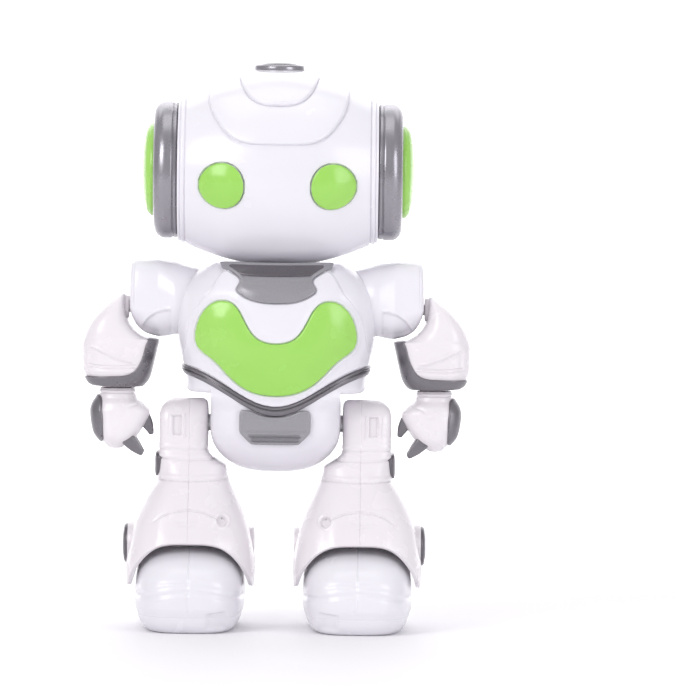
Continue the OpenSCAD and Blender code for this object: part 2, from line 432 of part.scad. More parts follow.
// ---- The two sides ----
module left_shoulder_shell() shoulder_shell();
module right_shoulder_shell() mirror([1, 0, 0]) shoulder_shell();
module left_arm_axle() arm_axle();
module right_arm_axle() mirror([1, 0, 0]) arm_axle();
module left_forearm_shell() forearm_shell();
module right_forearm_shell() mirror([1, 0, 0]) forearm_shell();
module left_forearm_trim() forearm_trim();
module right_forearm_trim() mirror([1, 0, 0]) forearm_trim();
module left_hand_shell() hand_shell();
module right_hand_shell() mirror([1, 0, 0]) hand_shell();
module left_hand_pad() hand_pad();
module right_hand_pad() mirror([1, 0, 0]) hand_pad();
module left_hand_claws() hand_claws();
module right_hand_claws() mirror([1, 0, 0]) hand_claws();
module left_leg_outer_shell() leg_outer_shell();
module right_leg_outer_shell() mirror([1, 0, 0]) leg_outer_shell();
module left_leg_inner_shell() leg_inner_shell();
module right_leg_inner_shell() mirror([1, 0, 0]) leg_inner_shell();
module left_leg_accents() leg_accents();
module right_leg_accents() mirror([1, 0, 0]) leg_accents();
module left_ankle_pin() ankle_pin();
module right_ankle_pin() mirror([1, 0, 0]) ankle_pin();
module left_foot_shell() foot_shell();
module right_foot_shell() mirror([1, 0, 0]) foot_shell();
module left_foot_sole() foot_sole();
module right_foot_sole() mirror([1, 0, 0]) foot_sole();
module left_foot_motor() foot_motor();
module right_foot_motor() mirror([1, 0, 0]) foot_motor();
module left_drive_wheels() drive_wheels();
module right_drive_wheels() mirror([1, 0, 0]) drive_wheels();

chest_front_shell();
chest_back_shell();
chest_plate();
chest_shield();
neck_collar();
waist_band();
belly_plate();
pelvis_front_shell();
pelvis_back_shell();
battery_tray();
battery_cells();
battery_contacts();
battery_door();
control_board();
speaker();
walk_gearbox();
hip_shaft();
shoulder_bushes();
neck_post();
body_screws();
power_switch_knob();
head_front_shell();
head_back_shell();
brow_panel();
crown_panel();
ir_window();
eye_lenses();
eye_light_board();
ear_rings();
ear_discs();
left_shoulder_shell();
left_arm_axle();
left_forearm_shell();
left_forearm_trim();
left_hand_shell();
left_hand_pad();
left_hand_claws();
left_leg_outer_shell();
left_leg_inner_shell();
left_leg_accents();
left_ankle_pin();
left_foot_shell();
left_foot_sole();
left_foot_motor();
left_drive_wheels();
right_shoulder_shell();
right_arm_axle();
right_forearm_shell();
right_forearm_trim();
right_hand_shell();
right_hand_pad();
right_hand_claws();
right_leg_outer_shell();
right_leg_inner_shell();
right_leg_accents();
right_ankle_pin();
right_foot_shell();
right_foot_sole();
right_foot_motor();
right_drive_wheels();
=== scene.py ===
import bpy, bmesh, math, json
import numpy as np
from mathutils import Vector, Matrix
from mathutils.geometry import delaunay_2d_cdt
from mathutils.kdtree import KDTree

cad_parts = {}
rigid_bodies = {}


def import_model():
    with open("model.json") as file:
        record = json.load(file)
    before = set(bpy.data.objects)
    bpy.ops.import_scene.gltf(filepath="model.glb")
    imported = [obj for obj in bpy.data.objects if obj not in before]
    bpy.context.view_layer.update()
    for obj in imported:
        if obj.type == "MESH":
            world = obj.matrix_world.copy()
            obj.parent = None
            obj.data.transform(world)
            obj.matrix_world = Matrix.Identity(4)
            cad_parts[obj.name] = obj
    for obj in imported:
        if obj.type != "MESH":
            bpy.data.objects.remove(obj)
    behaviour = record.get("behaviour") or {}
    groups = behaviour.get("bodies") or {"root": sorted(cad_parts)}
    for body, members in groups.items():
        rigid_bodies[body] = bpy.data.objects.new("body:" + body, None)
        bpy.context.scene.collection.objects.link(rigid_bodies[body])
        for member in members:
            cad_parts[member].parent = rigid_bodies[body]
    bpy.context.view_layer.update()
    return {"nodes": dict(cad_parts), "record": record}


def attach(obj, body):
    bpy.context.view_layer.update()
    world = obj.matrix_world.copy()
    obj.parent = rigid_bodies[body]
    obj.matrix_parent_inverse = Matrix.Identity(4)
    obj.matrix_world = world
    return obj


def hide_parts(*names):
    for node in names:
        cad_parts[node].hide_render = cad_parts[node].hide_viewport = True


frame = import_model()
MM = 0.001
pi = math.pi

# ------------------------------------------------------------------ materials
def new_mat(name):
    m = bpy.data.materials.new(name)
    m.use_nodes = True
    nt = m.node_tree
    bsdf = next(n for n in nt.nodes if n.type == "BSDF_PRINCIPLED")
    return m, nt, bsdf

def noise(nt, scale, detail=4.0, rough=0.55, dim_stretch=None):
    tc = nt.nodes.new("ShaderNodeTexCoord")
    n = nt.nodes.new("ShaderNodeTexNoise")
    n.inputs["Scale"].default_value = scale
    n.inputs["Detail"].default_value = detail
    n.inputs["Roughness"].default_value = rough
    if dim_stretch:
        mp = nt.nodes.new("ShaderNodeMapping")
        mp.inputs["Scale"].default_value = dim_stretch
        nt.links.new(tc.outputs["Object"], mp.inputs["Vector"])
        nt.links.new(mp.outputs["Vector"], n.inputs["Vector"])
    else:
        nt.links.new(tc.outputs["Object"], n.inputs["Vector"])
    return n

def ramp(nt, src, lo, hi, p0=0.35, p1=0.65):
    r = nt.nodes.new("ShaderNodeValToRGB")
    r.color_ramp.elements[0].position = p0
    r.color_ramp.elements[0].color = lo
    r.color_ramp.elements[1].position = p1
    r.color_ramp.elements[1].color = hi
    nt.links.new(src, r.inputs["Fac"])
    return r

def to_range(nt, src, lo, hi):
    mr = nt.nodes.new("ShaderNodeMapRange")
    mr.inputs["From Min"].default_value = 0.3
    mr.inputs["From Max"].default_value = 0.7
    mr.inputs["To Min"].default_value = lo
    mr.inputs["To Max"].default_value = hi
    nt.links.new(src, mr.inputs["Value"])
    return mr

def bump(nt, bsdf, src, strength, dist):
    b = nt.nodes.new("ShaderNodeBump")
    b.inputs["Strength"].default_value = strength
    b.inputs["Distance"].default_value = dist
    nt.links.new(src, b.inputs["Height"])
    nt.links.new(b.outputs["Normal"], bsdf.inputs["Normal"])
    return b

def plastic(name, c0, c1, r0, r1, peel=0.05, sss=0.0, sss_rgb=(1, 1, 1), coat=0.0, metal=0.0, grain=420.0, ior=1.5):
    m, nt, b = new_mat(name)
    big = noise(nt, 14.0, 3.0)
    cr = ramp(nt, big.outputs["Fac"], (*c0, 1), (*c1, 1))
    nt.links.new(cr.outputs["Color"], b.inputs["Base Color"])
    mid = noise(nt, 60.0, 5.0)
    rr = to_range(nt, mid.outputs["Fac"], r0, r1)
    nt.links.new(rr.outputs["Result"], b.inputs["Roughness"])
    fine = noise(nt, grain, 3.0)
    bump(nt, b, fine.outputs["Fac"], peel, 0.0002)
    b.inputs["IOR"].default_value = ior
    b.inputs["Metallic"].default_value = metal
    if sss > 0:
        b.inputs["Subsurface Weight"].default_value = sss
        b.inputs["Subsurface Radius"].default_value = sss_rgb
        b.inputs["Subsurface Scale"].default_value = 0.0015
    if coat > 0:
        b.inputs["Coat Weight"].default_value = coat
        b.inputs["Coat Roughness"].default_value = 0.08
    return m

WHITE = plastic("white_abs", (0.790, 0.776, 0.826), (0.822, 0.808, 0.852), 0.20, 0.28, peel=0.04, sss=0.06, sss_rgb=(1.0, 0.8, 0.85), coat=0.25)
WHITE2 = plastic("white_abs_warm", (0.802, 0.764, 0.792), (0.832, 0.796, 0.820), 0.22, 0.30, peel=0.05, sss=0.06, sss_rgb=(1.0, 0.8, 0.85), coat=0.2)
GREEN = plastic("green_abs", (0.320, 0.660, 0.100), (0.365, 0.700, 0.130), 0.20, 0.30, peel=0.05, sss=0.12, sss_rgb=(0.5, 1.0, 0.3), coat=0.3)

def satin(name, c0, c1, r0, r1, metal):
    m, nt, b = new_mat(name)
    fl = noise(nt, 2600.0, 2.0, 0.7)
    cr = ramp(nt, fl.outputs["Fac"], (*c0, 1), (*c1, 1), 0.3, 0.7)
    nt.links.new(cr.outputs["Color"], b.inputs["Base Color"])
    mid = noise(nt, 90.0, 4.0)
    rr = to_range(nt, mid.outputs["Fac"], r0, r1)
    nt.links.new(rr.outputs["Result"], b.inputs["Roughness"])
    bump(nt, b, fl.outputs["Fac"], 0.02, 0.0001)
    b.inputs["Metallic"].default_value = metal
    b.inputs["Coat Weight"].default_value = 0.15
    b.inputs["Coat Roughness"].default_value = 0.25
    return m

GREY = satin("silver_grey_paint", (0.300, 0.290, 0.318), (0.370, 0.360, 0.388), 0.24, 0.33, 0.80)
GREYL = satin("light_grey_paint", (0.300, 0.294, 0.315), (0.360, 0.354, 0.374), 0.30, 0.40, 0.35)
GREYM = satin("mid_grey_paint", (0.185, 0.175, 0.192), (0.235, 0.224, 0.242), 0.26, 0.36, 0.65)
GREYD = satin("dark_grey_paint", (0.125, 0.115, 0.130), (0.165, 0.154, 0.170), 0.27, 0.37, 0.60)
DARK = plastic("smoked_window", (0.008, 0.007, 0.010), (0.014, 0.012, 0.018), 0.06, 0.12, peel=0.02, coat=0.6)
BLACK = plastic("black_plastic", (0.018, 0.018, 0.020), (0.030, 0.030, 0.032), 0.38, 0.52, peel=0.3, grain=900.0)
RUBBER = plastic("tyre_rubber", (0.018, 0.018, 0.018), (0.030, 0.029, 0.028), 0.62, 0.78, peel=0.5, grain=700.0)
NYLON = plastic("natural_nylon", (0.62, 0.60, 0.53), (0.68, 0.66, 0.58), 0.42, 0.55, peel=0.15, sss=0.1)
PCBM = plastic("board_green", (0.012, 0.115, 0.035), (0.018, 0.150, 0.050), 0.30, 0.42, peel=0.2, grain=250.0)
CELL = plastic("cell_wrap", (0.030, 0.045, 0.090), (0.050, 0.070, 0.130), 0.25, 0.35, peel=0.05, metal=0.4)

def steel():
    m, nt, b = new_mat("brushed_steel")
    n = noise(nt, 500.0, 3.0, 0.6, (0.04, 1.0, 1.0))
    cr = ramp(nt, n.outputs["Fac"], (0.42, 0.42, 0.43, 1), (0.60, 0.60, 0.61, 1))
    nt.links.new(cr.outputs["Color"], b.inputs["Base Color"])
    rr = to_range(nt, n.outputs["Fac"], 0.24, 0.38)
    nt.links.new(rr.outputs["Result"], b.inputs["Roughness"])
    bump(nt, b, n.outputs["Fac"], 0.1, 0.0001)
    b.inputs["Metallic"].default_value = 1.0
    return m
STEEL = steel()

# ------------------------------------------------------------------ maths
class Tab:
    """Smooth monotone curve through a list of [x, y] pairs."""
    def __init__(self, pts):
        a = np.array(pts, float)
        self.x, self.y = a[:, 0], a[:, 1]
        h = np.diff(self.x)
        d = np.diff(self.y) / h
        m = np.zeros(len(a))
        for i in range(1, len(a) - 1):
            if d[i-1] * d[i] > 0:
                w1, w2 = 2*h[i] + h[i-1], h[i] + 2*h[i-1]
                m[i] = (w1 + w2) / (w1 / d[i-1] + w2 / d[i])
        m[0], m[-1] = d[0], d[-1]
        self.h, self.m = h, m
    def __call__(self, q):
        q = np.clip(np.asarray(q, float), self.x[0], self.x[-1])
        i = np.clip(np.searchsorted(self.x, q, side="right") - 1, 0, len(self.h) - 1)
        h = self.h[i]; t = (q - self.x[i]) / h
        y0, y1, m0, m1 = self.y[i], self.y[i+1], self.m[i], self.m[i+1]
        return (2*t**3 - 3*t**2 + 1)*y0 + (t**3 - 2*t**2 + t)*h*m0 + (-2*t**3 + 3*t**2)*y1 + (t**3 - t**2)*h*m1

def sep(t, n):
    c, s = np.cos(t), np.sin(t)
    return np.sign(c)*np.abs(c)**(2/n), np.sign(s)*np.abs(s)**(2/n)

def smooth(x):
    x = np.clip(x, 0, 1)
    return x*x*(3 - 2*x)

def chaikin(pts, n=3, closed=True):
    p = np.array(pts, float)
    for _ in range(n):
        q = np.roll(p, -1, axis=0) if closed else p[1:]
        a = p if closed else p[:-1]
        new = np.empty((len(a)*2, p.shape[1]))
        new[0::2] = 0.75*a + 0.25*q
        new[1::2] = 0.25*a + 0.75*q
        if not closed:
            new = np.vstack([p[:1], new, p[-1:]])
        p = new
    return p

def resample(pts, step, closed=True):
    p = np.array(pts, float)
    if closed: p = np.vstack([p, p[:1]])
    seg = np.linalg.norm(np.diff(p, axis=0), axis=1)
    s = np.concatenate([[0], np.cumsum(seg)])
    n = max(8, int(round(s[-1] / step)))
    q = np.linspace(0, s[-1], n + 1)
    if closed: q = q[:-1]
    return np.stack([np.interp(q, s, p[:, k]) for k in range(p.shape[1])], axis=1)

def dist_line(X, Y, pts, closed=False):
    """Distance from points to a polyline."""
    p = np.array(pts, float)
    if closed: p = np.vstack([p, p[:1]])
    best = np.full(X.shape, 1e9)
    for a, b in zip(p[:-1], p[1:]):
        d = b - a; L = d @ d + 1e-12
        t = np.clip(((X - a[0])*d[0] + (Y - a[1])*d[1]) / L, 0, 1)
        best = np.minimum(best, np.hypot(X - a[0] - t*d[0], Y - a[1] - t*d[1]))
    return best

def inside(X, Y, poly):
    p = np.array(poly, float)
    r = np.zeros(X.shape, bool)
    q = np.roll(p, -1, axis=0)
    for (x0, y0), (x1, y1) in zip(p, q):
        if y0 == y1: continue
        c = ((Y >= min(y0, y1)) & (Y < max(y0, y1)))
        xx = x0 + (Y - y0) * (x1 - x0) / (y1 - y0)
        r ^= c & (X < xx)
    return r

def groove(d, w, depth):
    return -depth * smooth(1 - d / w)

def sym_poly(right):
    """Closed outline from its right half, top to bottom, mirrored about x = 0."""
    r = [tuple(p) for p in right]
    l = [(-x, y) for x, y in reversed(r) if abs(x) > 1e-6]
    return r + l

def beside(line, offs, step=0.7):
    """Points on both sides of a closed line, for crisp grooves in a plate."""
    p = resample(line, step)
    t = np.roll(p, -1, axis=0) - np.roll(p, 1, axis=0); t /= np.linalg.norm(t, axis=1, keepdims=True) + 1e-12
    n = np.stack([-t[:, 1], t[:, 0]], axis=1)
    return [p + n*o for o in offs]

def near_ends(a, b, n, first=True, last=True, fine=(0.0, 0.08, 0.18, 0.32, 0.5, 0.8), per=1.0):
    """Samples from a to b, crowded near its ends. per is the length of one unit in mm."""
    s = list(np.linspace(a, b, n))
    sg = 1 if b > a else -1
    for f in fine:
        if first: s.append(a + sg*f/per)
        if last: s.append(b - sg*f/per)
    s = sorted(set(round(v, 6) for v in s if min(a, b) - 1e-9 <= v <= max(a, b) + 1e-9))
    return np.array(s if sg > 0 else s[::-1])

# ------------------------------------------------------------------ meshes
def make(name, V, F, mat, body, nodes=(), mirror=False, sharp=40.0):
    V = np.array(V, float)
    if mirror:
        V = V * np.array([-1.0, 1.0, 1.0])
        F = [tuple(reversed(f)) for f in F]
    me = bpy.data.meshes.new(name)
    me.from_pydata([tuple(v) for v in V*MM], [], [tuple(int(i) for i in f) for f in F])
    me.validate()
    bm = bmesh.new(); bm.from_mesh(me)
    bmesh.ops.remove_doubles(bm, verts=bm.verts, dist=2e-6)
    bmesh.ops.dissolve_degenerate(bm, edges=bm.edges, dist=1e-6)
    bmesh.ops.recalc_face_normals(bm, faces=bm.faces)
    lim = math.radians(sharp)
    for e in bm.edges:
        e.smooth = not (len(e.link_faces) == 2 and e.calc_face_angle(0) > lim)
    for f in bm.faces: f.smooth = True
    bm.to_mesh(me); bm.free()
    ob = bpy.data.objects.new(name, me)
    bpy.context.scene.collection.objects.link(ob)
    me.materials.append(mat)
    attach(ob, body)
    if nodes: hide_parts(*nodes)
    return ob

def normals(P, ring):
    if ring:
        du = np.roll(P, -1, axis=1) - np.roll(P, 1, axis=1)
    else:
        du = np.gradient(P, axis=1)
    dv = np.gradient(P, axis=0)
    N = np.cross(du, dv)
    L = np.linalg.norm(N, axis=2, keepdims=True)
    return N / np.maximum(L, 1e-9)

def edge_dist(P, ring, rows=(True, True), cols=(True, True)):
    """Distance along the grid lines to the open edges."""
    d = np.full(P.shape[:2], 1e9)
    sv = np.vstack([np.zeros((1, P.shape[1])), np.cumsum(np.linalg.norm(np.diff(P, axis=0), axis=2), axis=0)])
    if rows[0]: d = np.minimum(d, sv)
    if rows[1]: d = np.minimum(d, sv[-1] - sv)
    if not ring:
        su = np.hstack([np.zeros((P.shape[0], 1)), np.cumsum(np.linalg.norm(np.diff(P, axis=1), axis=2), axis=1)])
        if cols[0]: d = np.minimum(d, su)
        if cols[1]: d = np.minimum(d, su[:, -1:] - su)
    return d

def round_drop(d, r):
    k = np.clip(r - d, 0, r)
    return r - np.sqrt(np.maximum(r*r - k*k, 0))

def shell(name, P, mat, body, nodes=(), ring=False, th=1.6, er=0.4, cap0=False, cap1=False, disp=None, mirror=False,
          sign=1, rows=(True, True), cols=(True, True), inner=True, sharp=40.0):
    """Wall of thickness th behind a grid of surface points, with rounded open edges."""
    P = np.array(P, float)
    R, C = P.shape[:2]
    N = normals(P, ring) * sign
    base = P.copy()
    off = np.zeros((R, C))
    if disp is not None: off += disp(P, N)
    if er > 0:
        off -= round_drop(edge_dist(P, ring, (rows[0] and not cap0, rows[1] and not cap1), cols), er)
    P = P + N * off[..., None]
    V = [P.reshape(-1, 3)]
    F = []
    L = C if ring else C - 1
    for i in range(R - 1):
        for j in range(L):
            k = (j + 1) % C
            F.append((i*C + j, i*C + k, (i+1)*C + k, (i+1)*C + j))
    n = R*C
    if inner:
        Q = base - N * th
        V.append(Q.reshape(-1, 3))
        for i in range(R - 1):
            for j in range(L):
                k = (j + 1) % C
                F.append((n + i*C + j, n + (i+1)*C + j, n + (i+1)*C + k, n + i*C + k))
        M = n; n = 2*n
        for r, cap in ((0, cap0), (R - 1, cap1)):
            if not cap:
                for j in range(L):
                    k = (j + 1) % C
                    F.append((r*C + j, r*C + k, M + r*C + k, M + r*C + j))
        if not ring:
            for c in (0, C - 1):
                for i in range(R - 1):
                    F.append((i*C + c, (i+1)*C + c, M + (i+1)*C + c, M + i*C + c))
    for r, cap in ((0, cap0), (R - 1, cap1)):
        if cap:
            for S, o in ((P, 0),) + (((base - N*th, R*C),) if inner else ()):
                V.append(S[r].mean(axis=0)[None]); c = n; n += 1
                for j in range(L):
                    k = (j + 1) % C
                    F.append((o + r*C + j, o + r*C + k, c))
    return make(name, np.vstack(V), F, mat, body, nodes, mirror, sharp)

def lathe(name, prof, mat, body, nodes=(), axis="x", at=(0, 0, 0), seg=128, flip=False, mirror=False, M=None, sharp=40.0):
    """Body of revolution. prof is a list of (radius, height) along the axis."""
    prof = np.array(prof, float)
    V = []; F = []
    t = np.linspace(0, 2*pi, seg, endpoint=False)
    for r, h in prof:
        V.append(np.stack([r*np.cos(t), r*np.sin(t), np.full(seg, h)], axis=1))
    V = np.vstack(V)
    n = len(prof)
    for i in range(n - 1):
        for j in range(seg):
            k = (j + 1) % seg
            F.append((i*seg + j, i*seg + k, (i+1)*seg + k, (i+1)*seg + j))
    for r in (0, n - 1):
        if prof[r, 0] > 1e-6: F.append(tuple(range(r*seg, (r+1)*seg)))
    if flip: V = V * np.array([1, 1, -1.0])
    if M is not None:
        V = V @ np.array(M.to_3x3()).T + np.array(M.translation)
    else:
        if axis == "x": V = V[:, [2, 0, 1]]
        elif axis == "y": V = V[:, [1, 2, 0]]
        V = V + np.array(at)
    return make(name, V, F, mat, body, nodes, mirror, sharp)

def arc(cx, cy, r, a0, a1, n=8):
    return [(cx + r*math.cos(math.radians(a0 + (a1 - a0)*i/n)), cy + r*math.sin(math.radians(a0 + (a1 - a0)*i/n))) for i in range(n + 1)]

def plate(name, outline, surf, h0, mat, body, nodes=(), er=0.6, depth=2.0, step=1.4, holes=(), hfun=None, extra=(),
          ring_step=0.8, mirror=False, sharp=40.0, hole_er=None):
    """Curved plate over an outline in the flat coordinates of surf. It stands h0 proud, with
    rounded edges of radius er, and its rim goes down to depth below its top."""
    out = resample(outline, ring_step)
    hs = [resample(h, min(ring_step, 0.7)) for h in holes]
    loops = [out] + hs
    dense = [resample(l, 0.25) for l in loops]
    alld = np.vstack(dense)
    kd = KDTree(len(alld))
    for i, p in enumerate(alld): kd.insert((p[0], p[1], 0), i)
    kd.balance()
    pts = []
    cons = []
    for l in loops:
        o = len(pts)
        pts += [tuple(p) for p in l]
        cons += [(o + i, o + (i + 1) % len(l)) for i in range(len(l))]
    def keep(q, lo):
        m = inside(q[:, 0], q[:, 1], out)
        for h in hs: m &= ~inside(q[:, 0], q[:, 1], h)
        q = q[m]
        d = np.array([kd.find((p[0], p[1], 0))[2] for p in q]) if len(q) else np.zeros(0)
        return q[d > lo], d[d > lo]
    cand = []
    for l in loops:
        t = np.roll(l, -1, axis=0) - np.roll(l, 1, axis=0)
        t /= np.linalg.norm(t, axis=1, keepdims=True) + 1e-12
        nrm = np.stack([-t[:, 1], t[:, 0]], axis=1)
        for f in (0.12, 0.3, 0.55, 0.85, 1.15, 1.8):
            for s in (1, -1):
                q, d = keep(l + nrm*s*f*er, 0.08*er)
                q = q[np.abs(d - f*er) < 0.25*f*er]
                cand.append(q)
    x0, y0 = out.min(axis=0); x1, y1 = out.max(axis=0)
    gx, gy = np.meshgrid(np.arange(x0, x1, step), np.arange(y0, y1, step))
    gx = gx + (np.arange(gx.shape[0]) % 2)[:, None] * step * 0.5
    q, d = keep(np.stack([gx.ravel(), gy.ravel()], axis=1), 1.8*er + 0.35*step)
    cand.append(q)
    for e in extra:
        q, d = keep(np.array(e, float), 1.8*er)
        cand.append(q)
    pts += [tuple(p) for c in cand for p in c]
    res = delaunay_2d_cdt([Vector(p) for p in pts], cons, [], 0, 1e-5)
    v2 = np.array([(v.x, v.y) for v in res[0]])
    tris = np.array([f for f in res[2] if len(f) == 3])
    cen = v2[tris].mean(axis=1)
    m = inside(cen[:, 0], cen[:, 1], out)
    for h in hs: m &= ~inside(cen[:, 0], cen[:, 1], h)
    tris = tris[m]
    d = np.array([kd.find((p[0], p[1], 0))[2] for p in v2])
    h = h0 - round_drop(d, er)
    if hfun is not None: h = h + hfun(v2[:, 0], v2[:, 1]) * smooth(d / (1.2*er))
    V = surf(v2[:, 0], v2[:, 1], h)
    F = [tuple(t) for t in tris]
    n = len(V)
    Vs = [V]
    # rim: boundary edges of the kept triangles, carried down
    cnt = {}
    for a, b, c in tris:
        for e in ((a, b), (b, c), (c, a)):
            k = (min(e), max(e)); cnt.setdefault(k, []).append(e)
    bd = [v[0] for v in cnt.values() if len(v) == 1]
    ids = sorted({i for e in bd for i in e})
    low = surf(v2[ids, 0], v2[ids, 1], np.full(len(ids), h0 - depth))
    mp = {i: n + k for k, i in enumerate(ids)}
    Vs.append(low)
    for a, b in bd: F.append((b, a, mp[a], mp[b]))
    return make(name, np.vstack(Vs), F, mat, body, nodes, mirror, sharp)

# ------------------------------------------------------------------ dimensions shared with the design
HZ, HR, HH = 214.0, 44.3, 46.5
HIPZ, ANKZ, SHZ, ELZ = 96.0, 39.0, 154.0, 149.7
FX, WX, SEAM = 39.1, 74.0, 40.0
def hr(x): return HR - 0.00541 * x * x

# ================================================================== HEAD
eye_s = math.radians(90 + math.degrees(math.asin((HZ - 207.4) / hr(26)))) * HR     # arc position of the eyes
def circle(cx, cy, r, n=72): return [(cx + r*math.cos(2*pi*i/n), cy + r*math.sin(2*pi*i/n)) for i in range(n)]
EW, EH = 10.45, 11.55                                  # half sizes of the eyes
def head_surf(u, v, h):
    f = v / HR
    r = hr(u) + h
    return np.stack([u, -r*np.sin(f), HZ + r*np.cos(f)], axis=1)

# brow panel and crown panel
def wrap_outline(rows, n=3):
    right = [(w, math.radians(f)*HR) for f, w in rows]
    pts = right + [(-x, y) for x, y in reversed(right)]
    return chaikin(pts, n)
brow_rows = [(-73.5, 0), (-73.3, 11), (-71, 18.5), (-64, 24.6), (-52, 29.4), (-41, 31.8), (-22, 32.6), (0, 32.9), (22, 32.6), (41, 31.8), (52, 29.4), (64, 24.6), (71, 18.5), (73.3, 11), (73.5, 0)]
brow = wrap_outline(brow_rows)
crown_rows = [(-48.5, 0), (-48, 6.5), (-43, 12.6), (-32, 16.4), (-16, 18.2), (0, 18.6), (16, 18.2), (32, 16.4), (43, 12.6), (48, 6.5), (48.5, 0)]
crown = wrap_outline(crown_rows)
def head_disp(P, N):
    x = P[..., 0]; f = np.arctan2(-P[..., 1], P[..., 2] - HZ)
    ax = np.abs(x)
    o = np.zeros(x.shape)
    o += 0.35 * smooth((ax - 43.9) / 0.5)                    # raised rim beside the ear rings
    o += groove(np.abs(ax - 43.3), 0.55, 0.75)
    o += groove(np.abs(ax - 45.4), 0.4, 0.5)
    for s in (-1, 1):
        d = 11*np.hypot((x - s*26)/EW, (f*HR - eye_s)/EH)
        o += groove(np.abs(d - 11.15), 0.42, 1.5)            # recess round each eye
    o += groove(dist_line(x, f*HR, brow[::2], True), 1.0, 0.55)
    return o

def head_xs():
    xs = list(np.linspace(-HH, HH, 101))
    for c in (43.3, 45.4, 43.9):
        for d in (-0.7, -0.5, -0.35, -0.2, 0, 0.2, 0.35, 0.5, 0.7):
            xs += [c + d, -c - d]
    for s in (-1, 1): xs += list(np.linspace(s*26 - 12.4, s*26 + 12.4, 51))
    return np.array(sorted(set(np.round([x for x in xs if abs(x) <= HH], 3))))

def head_half(name, f0, f1, body_nodes, fine=False):
    xs = head_xs() if fine else np.array(sorted(set(np.round(list(np.linspace(-HH, HH, 95)) + [s*(c + d) for s in (-1, 1) for c in (43.3, 45.4) for d in (-0.6, -0.4, -0.2, 0, 0.2, 0.4, 0.6)], 3))))
    fs = near_ends(f0, f1, 120, per=HR, fine=(0.08, 0.18, 0.3, 0.5))
    if fine:
        c = eye_s / HR
        fs = np.array(sorted(set(list(fs) + list(np.linspace(c - 13.0/HR, c + 13.0/HR, 54))), reverse=True))
    P = np.stack([np.tile(xs, (len(fs), 1)), -hr(xs)[None, :]*np.sin(fs)[:, None], HZ + hr(xs)[None, :]*np.cos(fs)[:, None]], axis=2)
    return shell(name, P, WHITE, "head", body_nodes, th=1.9, er=0.22, disp=head_disp, cols=(False, False))
head_half("head_casing_front", pi - 0.0006, 0.0006, ["head_front_shell"], True)
head_half("head_casing_back", -0.0006, -pi + 0.0006, ["head_back_shell"])

# eye lenses
for s, nm in ((1, "left"), (-1, "right")):
    def dome(u, v, s=s):
        q = np.clip(((u - s*26)/EW)**2 + ((v - eye_s)/EH)**2, 0, 1)
        return 1.7*(1 - q)
    o = plate("eye_lens_" + nm, [(s*26 + EW*0.99*math.cos(q), eye_s + EH*0.99*math.sin(q)) for q in np.linspace(0, 2*pi, 73)[:-1]], head_surf, 1.2, GREEN, "head", ["eye_lenses"] if s == 1 else (),
          er=0.6, depth=2.4, step=0.9, hfun=dome)

plate("brow_visor", brow, head_surf, 1.75, WHITE, "head", ["brow_panel"], er=0.95, depth=2.6, step=1.7, ring_step=1.0,
      holes=[circle(0, 0, 7.6, 48)], hfun=lambda u, v: groove(dist_line(u, v, crown[::2], True), 0.9, 0.45),
      extra=beside(crown, (0.0, 0.45, -0.45, 0.9, -0.9), 0.9))
def crown_h(u, v):
    q = np.hypot(u, v)
    return 0.5*(1 - smooth((np.abs(u) - 2) / 15)) + 0.4*(1 - smooth((q - 12) / 6)) + groove(np.abs(q - 12.4), 0.6, 0.7)
plate("crown_plate", crown, head_surf, 3.1, WHITE, "head", ["crown_panel"], er=0.8, depth=1.7, step=1.1,
      holes=[circle(0, 0, 7.6, 48)], hfun=crown_h)

# dark infrared window on the crown, with its rim
zw = HZ + HR
lathe("ir_rim", [(9.0, 2.6), (11.3, 2.6), (11.7, 3.0), (11.72, 3.4)] + [(10.2 + 1.5*math.cos(a), 3.9 + 1.35*math.sin(a)) for a in np.linspace(0.0, pi/2 + 0.5, 12)] + [(9.2, 4.7), (9.0, 4.2), (9.0, 2.6)],
      GREY, "head", axis="z", at=(0, 0, zw), seg=96)
lathe("ir_dome", [(0, -7.0), (7.4, -7.0), (7.4, 3.2), (9.1, 3.2), (9.1, 4.75)] + [(9.05*math.cos(a), 4.8 + 1.9*math.sin(a)) for a in np.linspace(0.1, pi/2 - 0.01, 14)] + [(0.0, 6.7)],
      DARK, "head", ["ir_window"], axis="z", at=(0, 0, zw), seg=96)

# ear rings and domed ear discs
ring_prof = [(20.2, 46.7), (30.6, 46.7), (31.2, 46.85), (31.5, 47.2), (31.6, 47.7), (31.62, 48.5), (31.35, 48.75), (31.35, 49.0), (31.7, 49.2), (31.95, 49.5),
             (32.0, 50.4)] + [(26.4 + 5.6*math.cos(a), 52.3 + 5.6*math.sin(a)) for a in np.linspace(-0.15, 1.42, 18)] + \
            [(26.2, 57.95), (24.9, 58.0), (24.3, 57.85), (24.05, 57.5), (23.8, 57.05), (23.1, 56.9), (22.3, 56.9), (20.2, 56.9)]
disc_prof = [(0.0, 50.0), (20.0, 50.0), (20.0, 57.2), (21.2, 57.3), (21.6, 57.7), (21.65, 58.6), (21.5, 59.3), (21.0, 60.0)] + \
            [(20.6*math.cos(a), 60.0 + 3.7*math.sin(a)) for a in np.linspace(0.16, 1.50, 22)] + [(0.0, 63.7)]
for s, nm in ((1, "left"), (-1, "right")):
    lathe("ear_ring_" + nm, ring_prof, GREY, "head", ["ear_rings"] if s == 1 else (), at=(0, 0, HZ), seg=160, mirror=(s < 0))
    lathe("ear_disc_" + nm, disc_prof, GREEN, "head", ["ear_discs"] if s == 1 else (), at=(0, 0, HZ), seg=144, mirror=(s < 0))

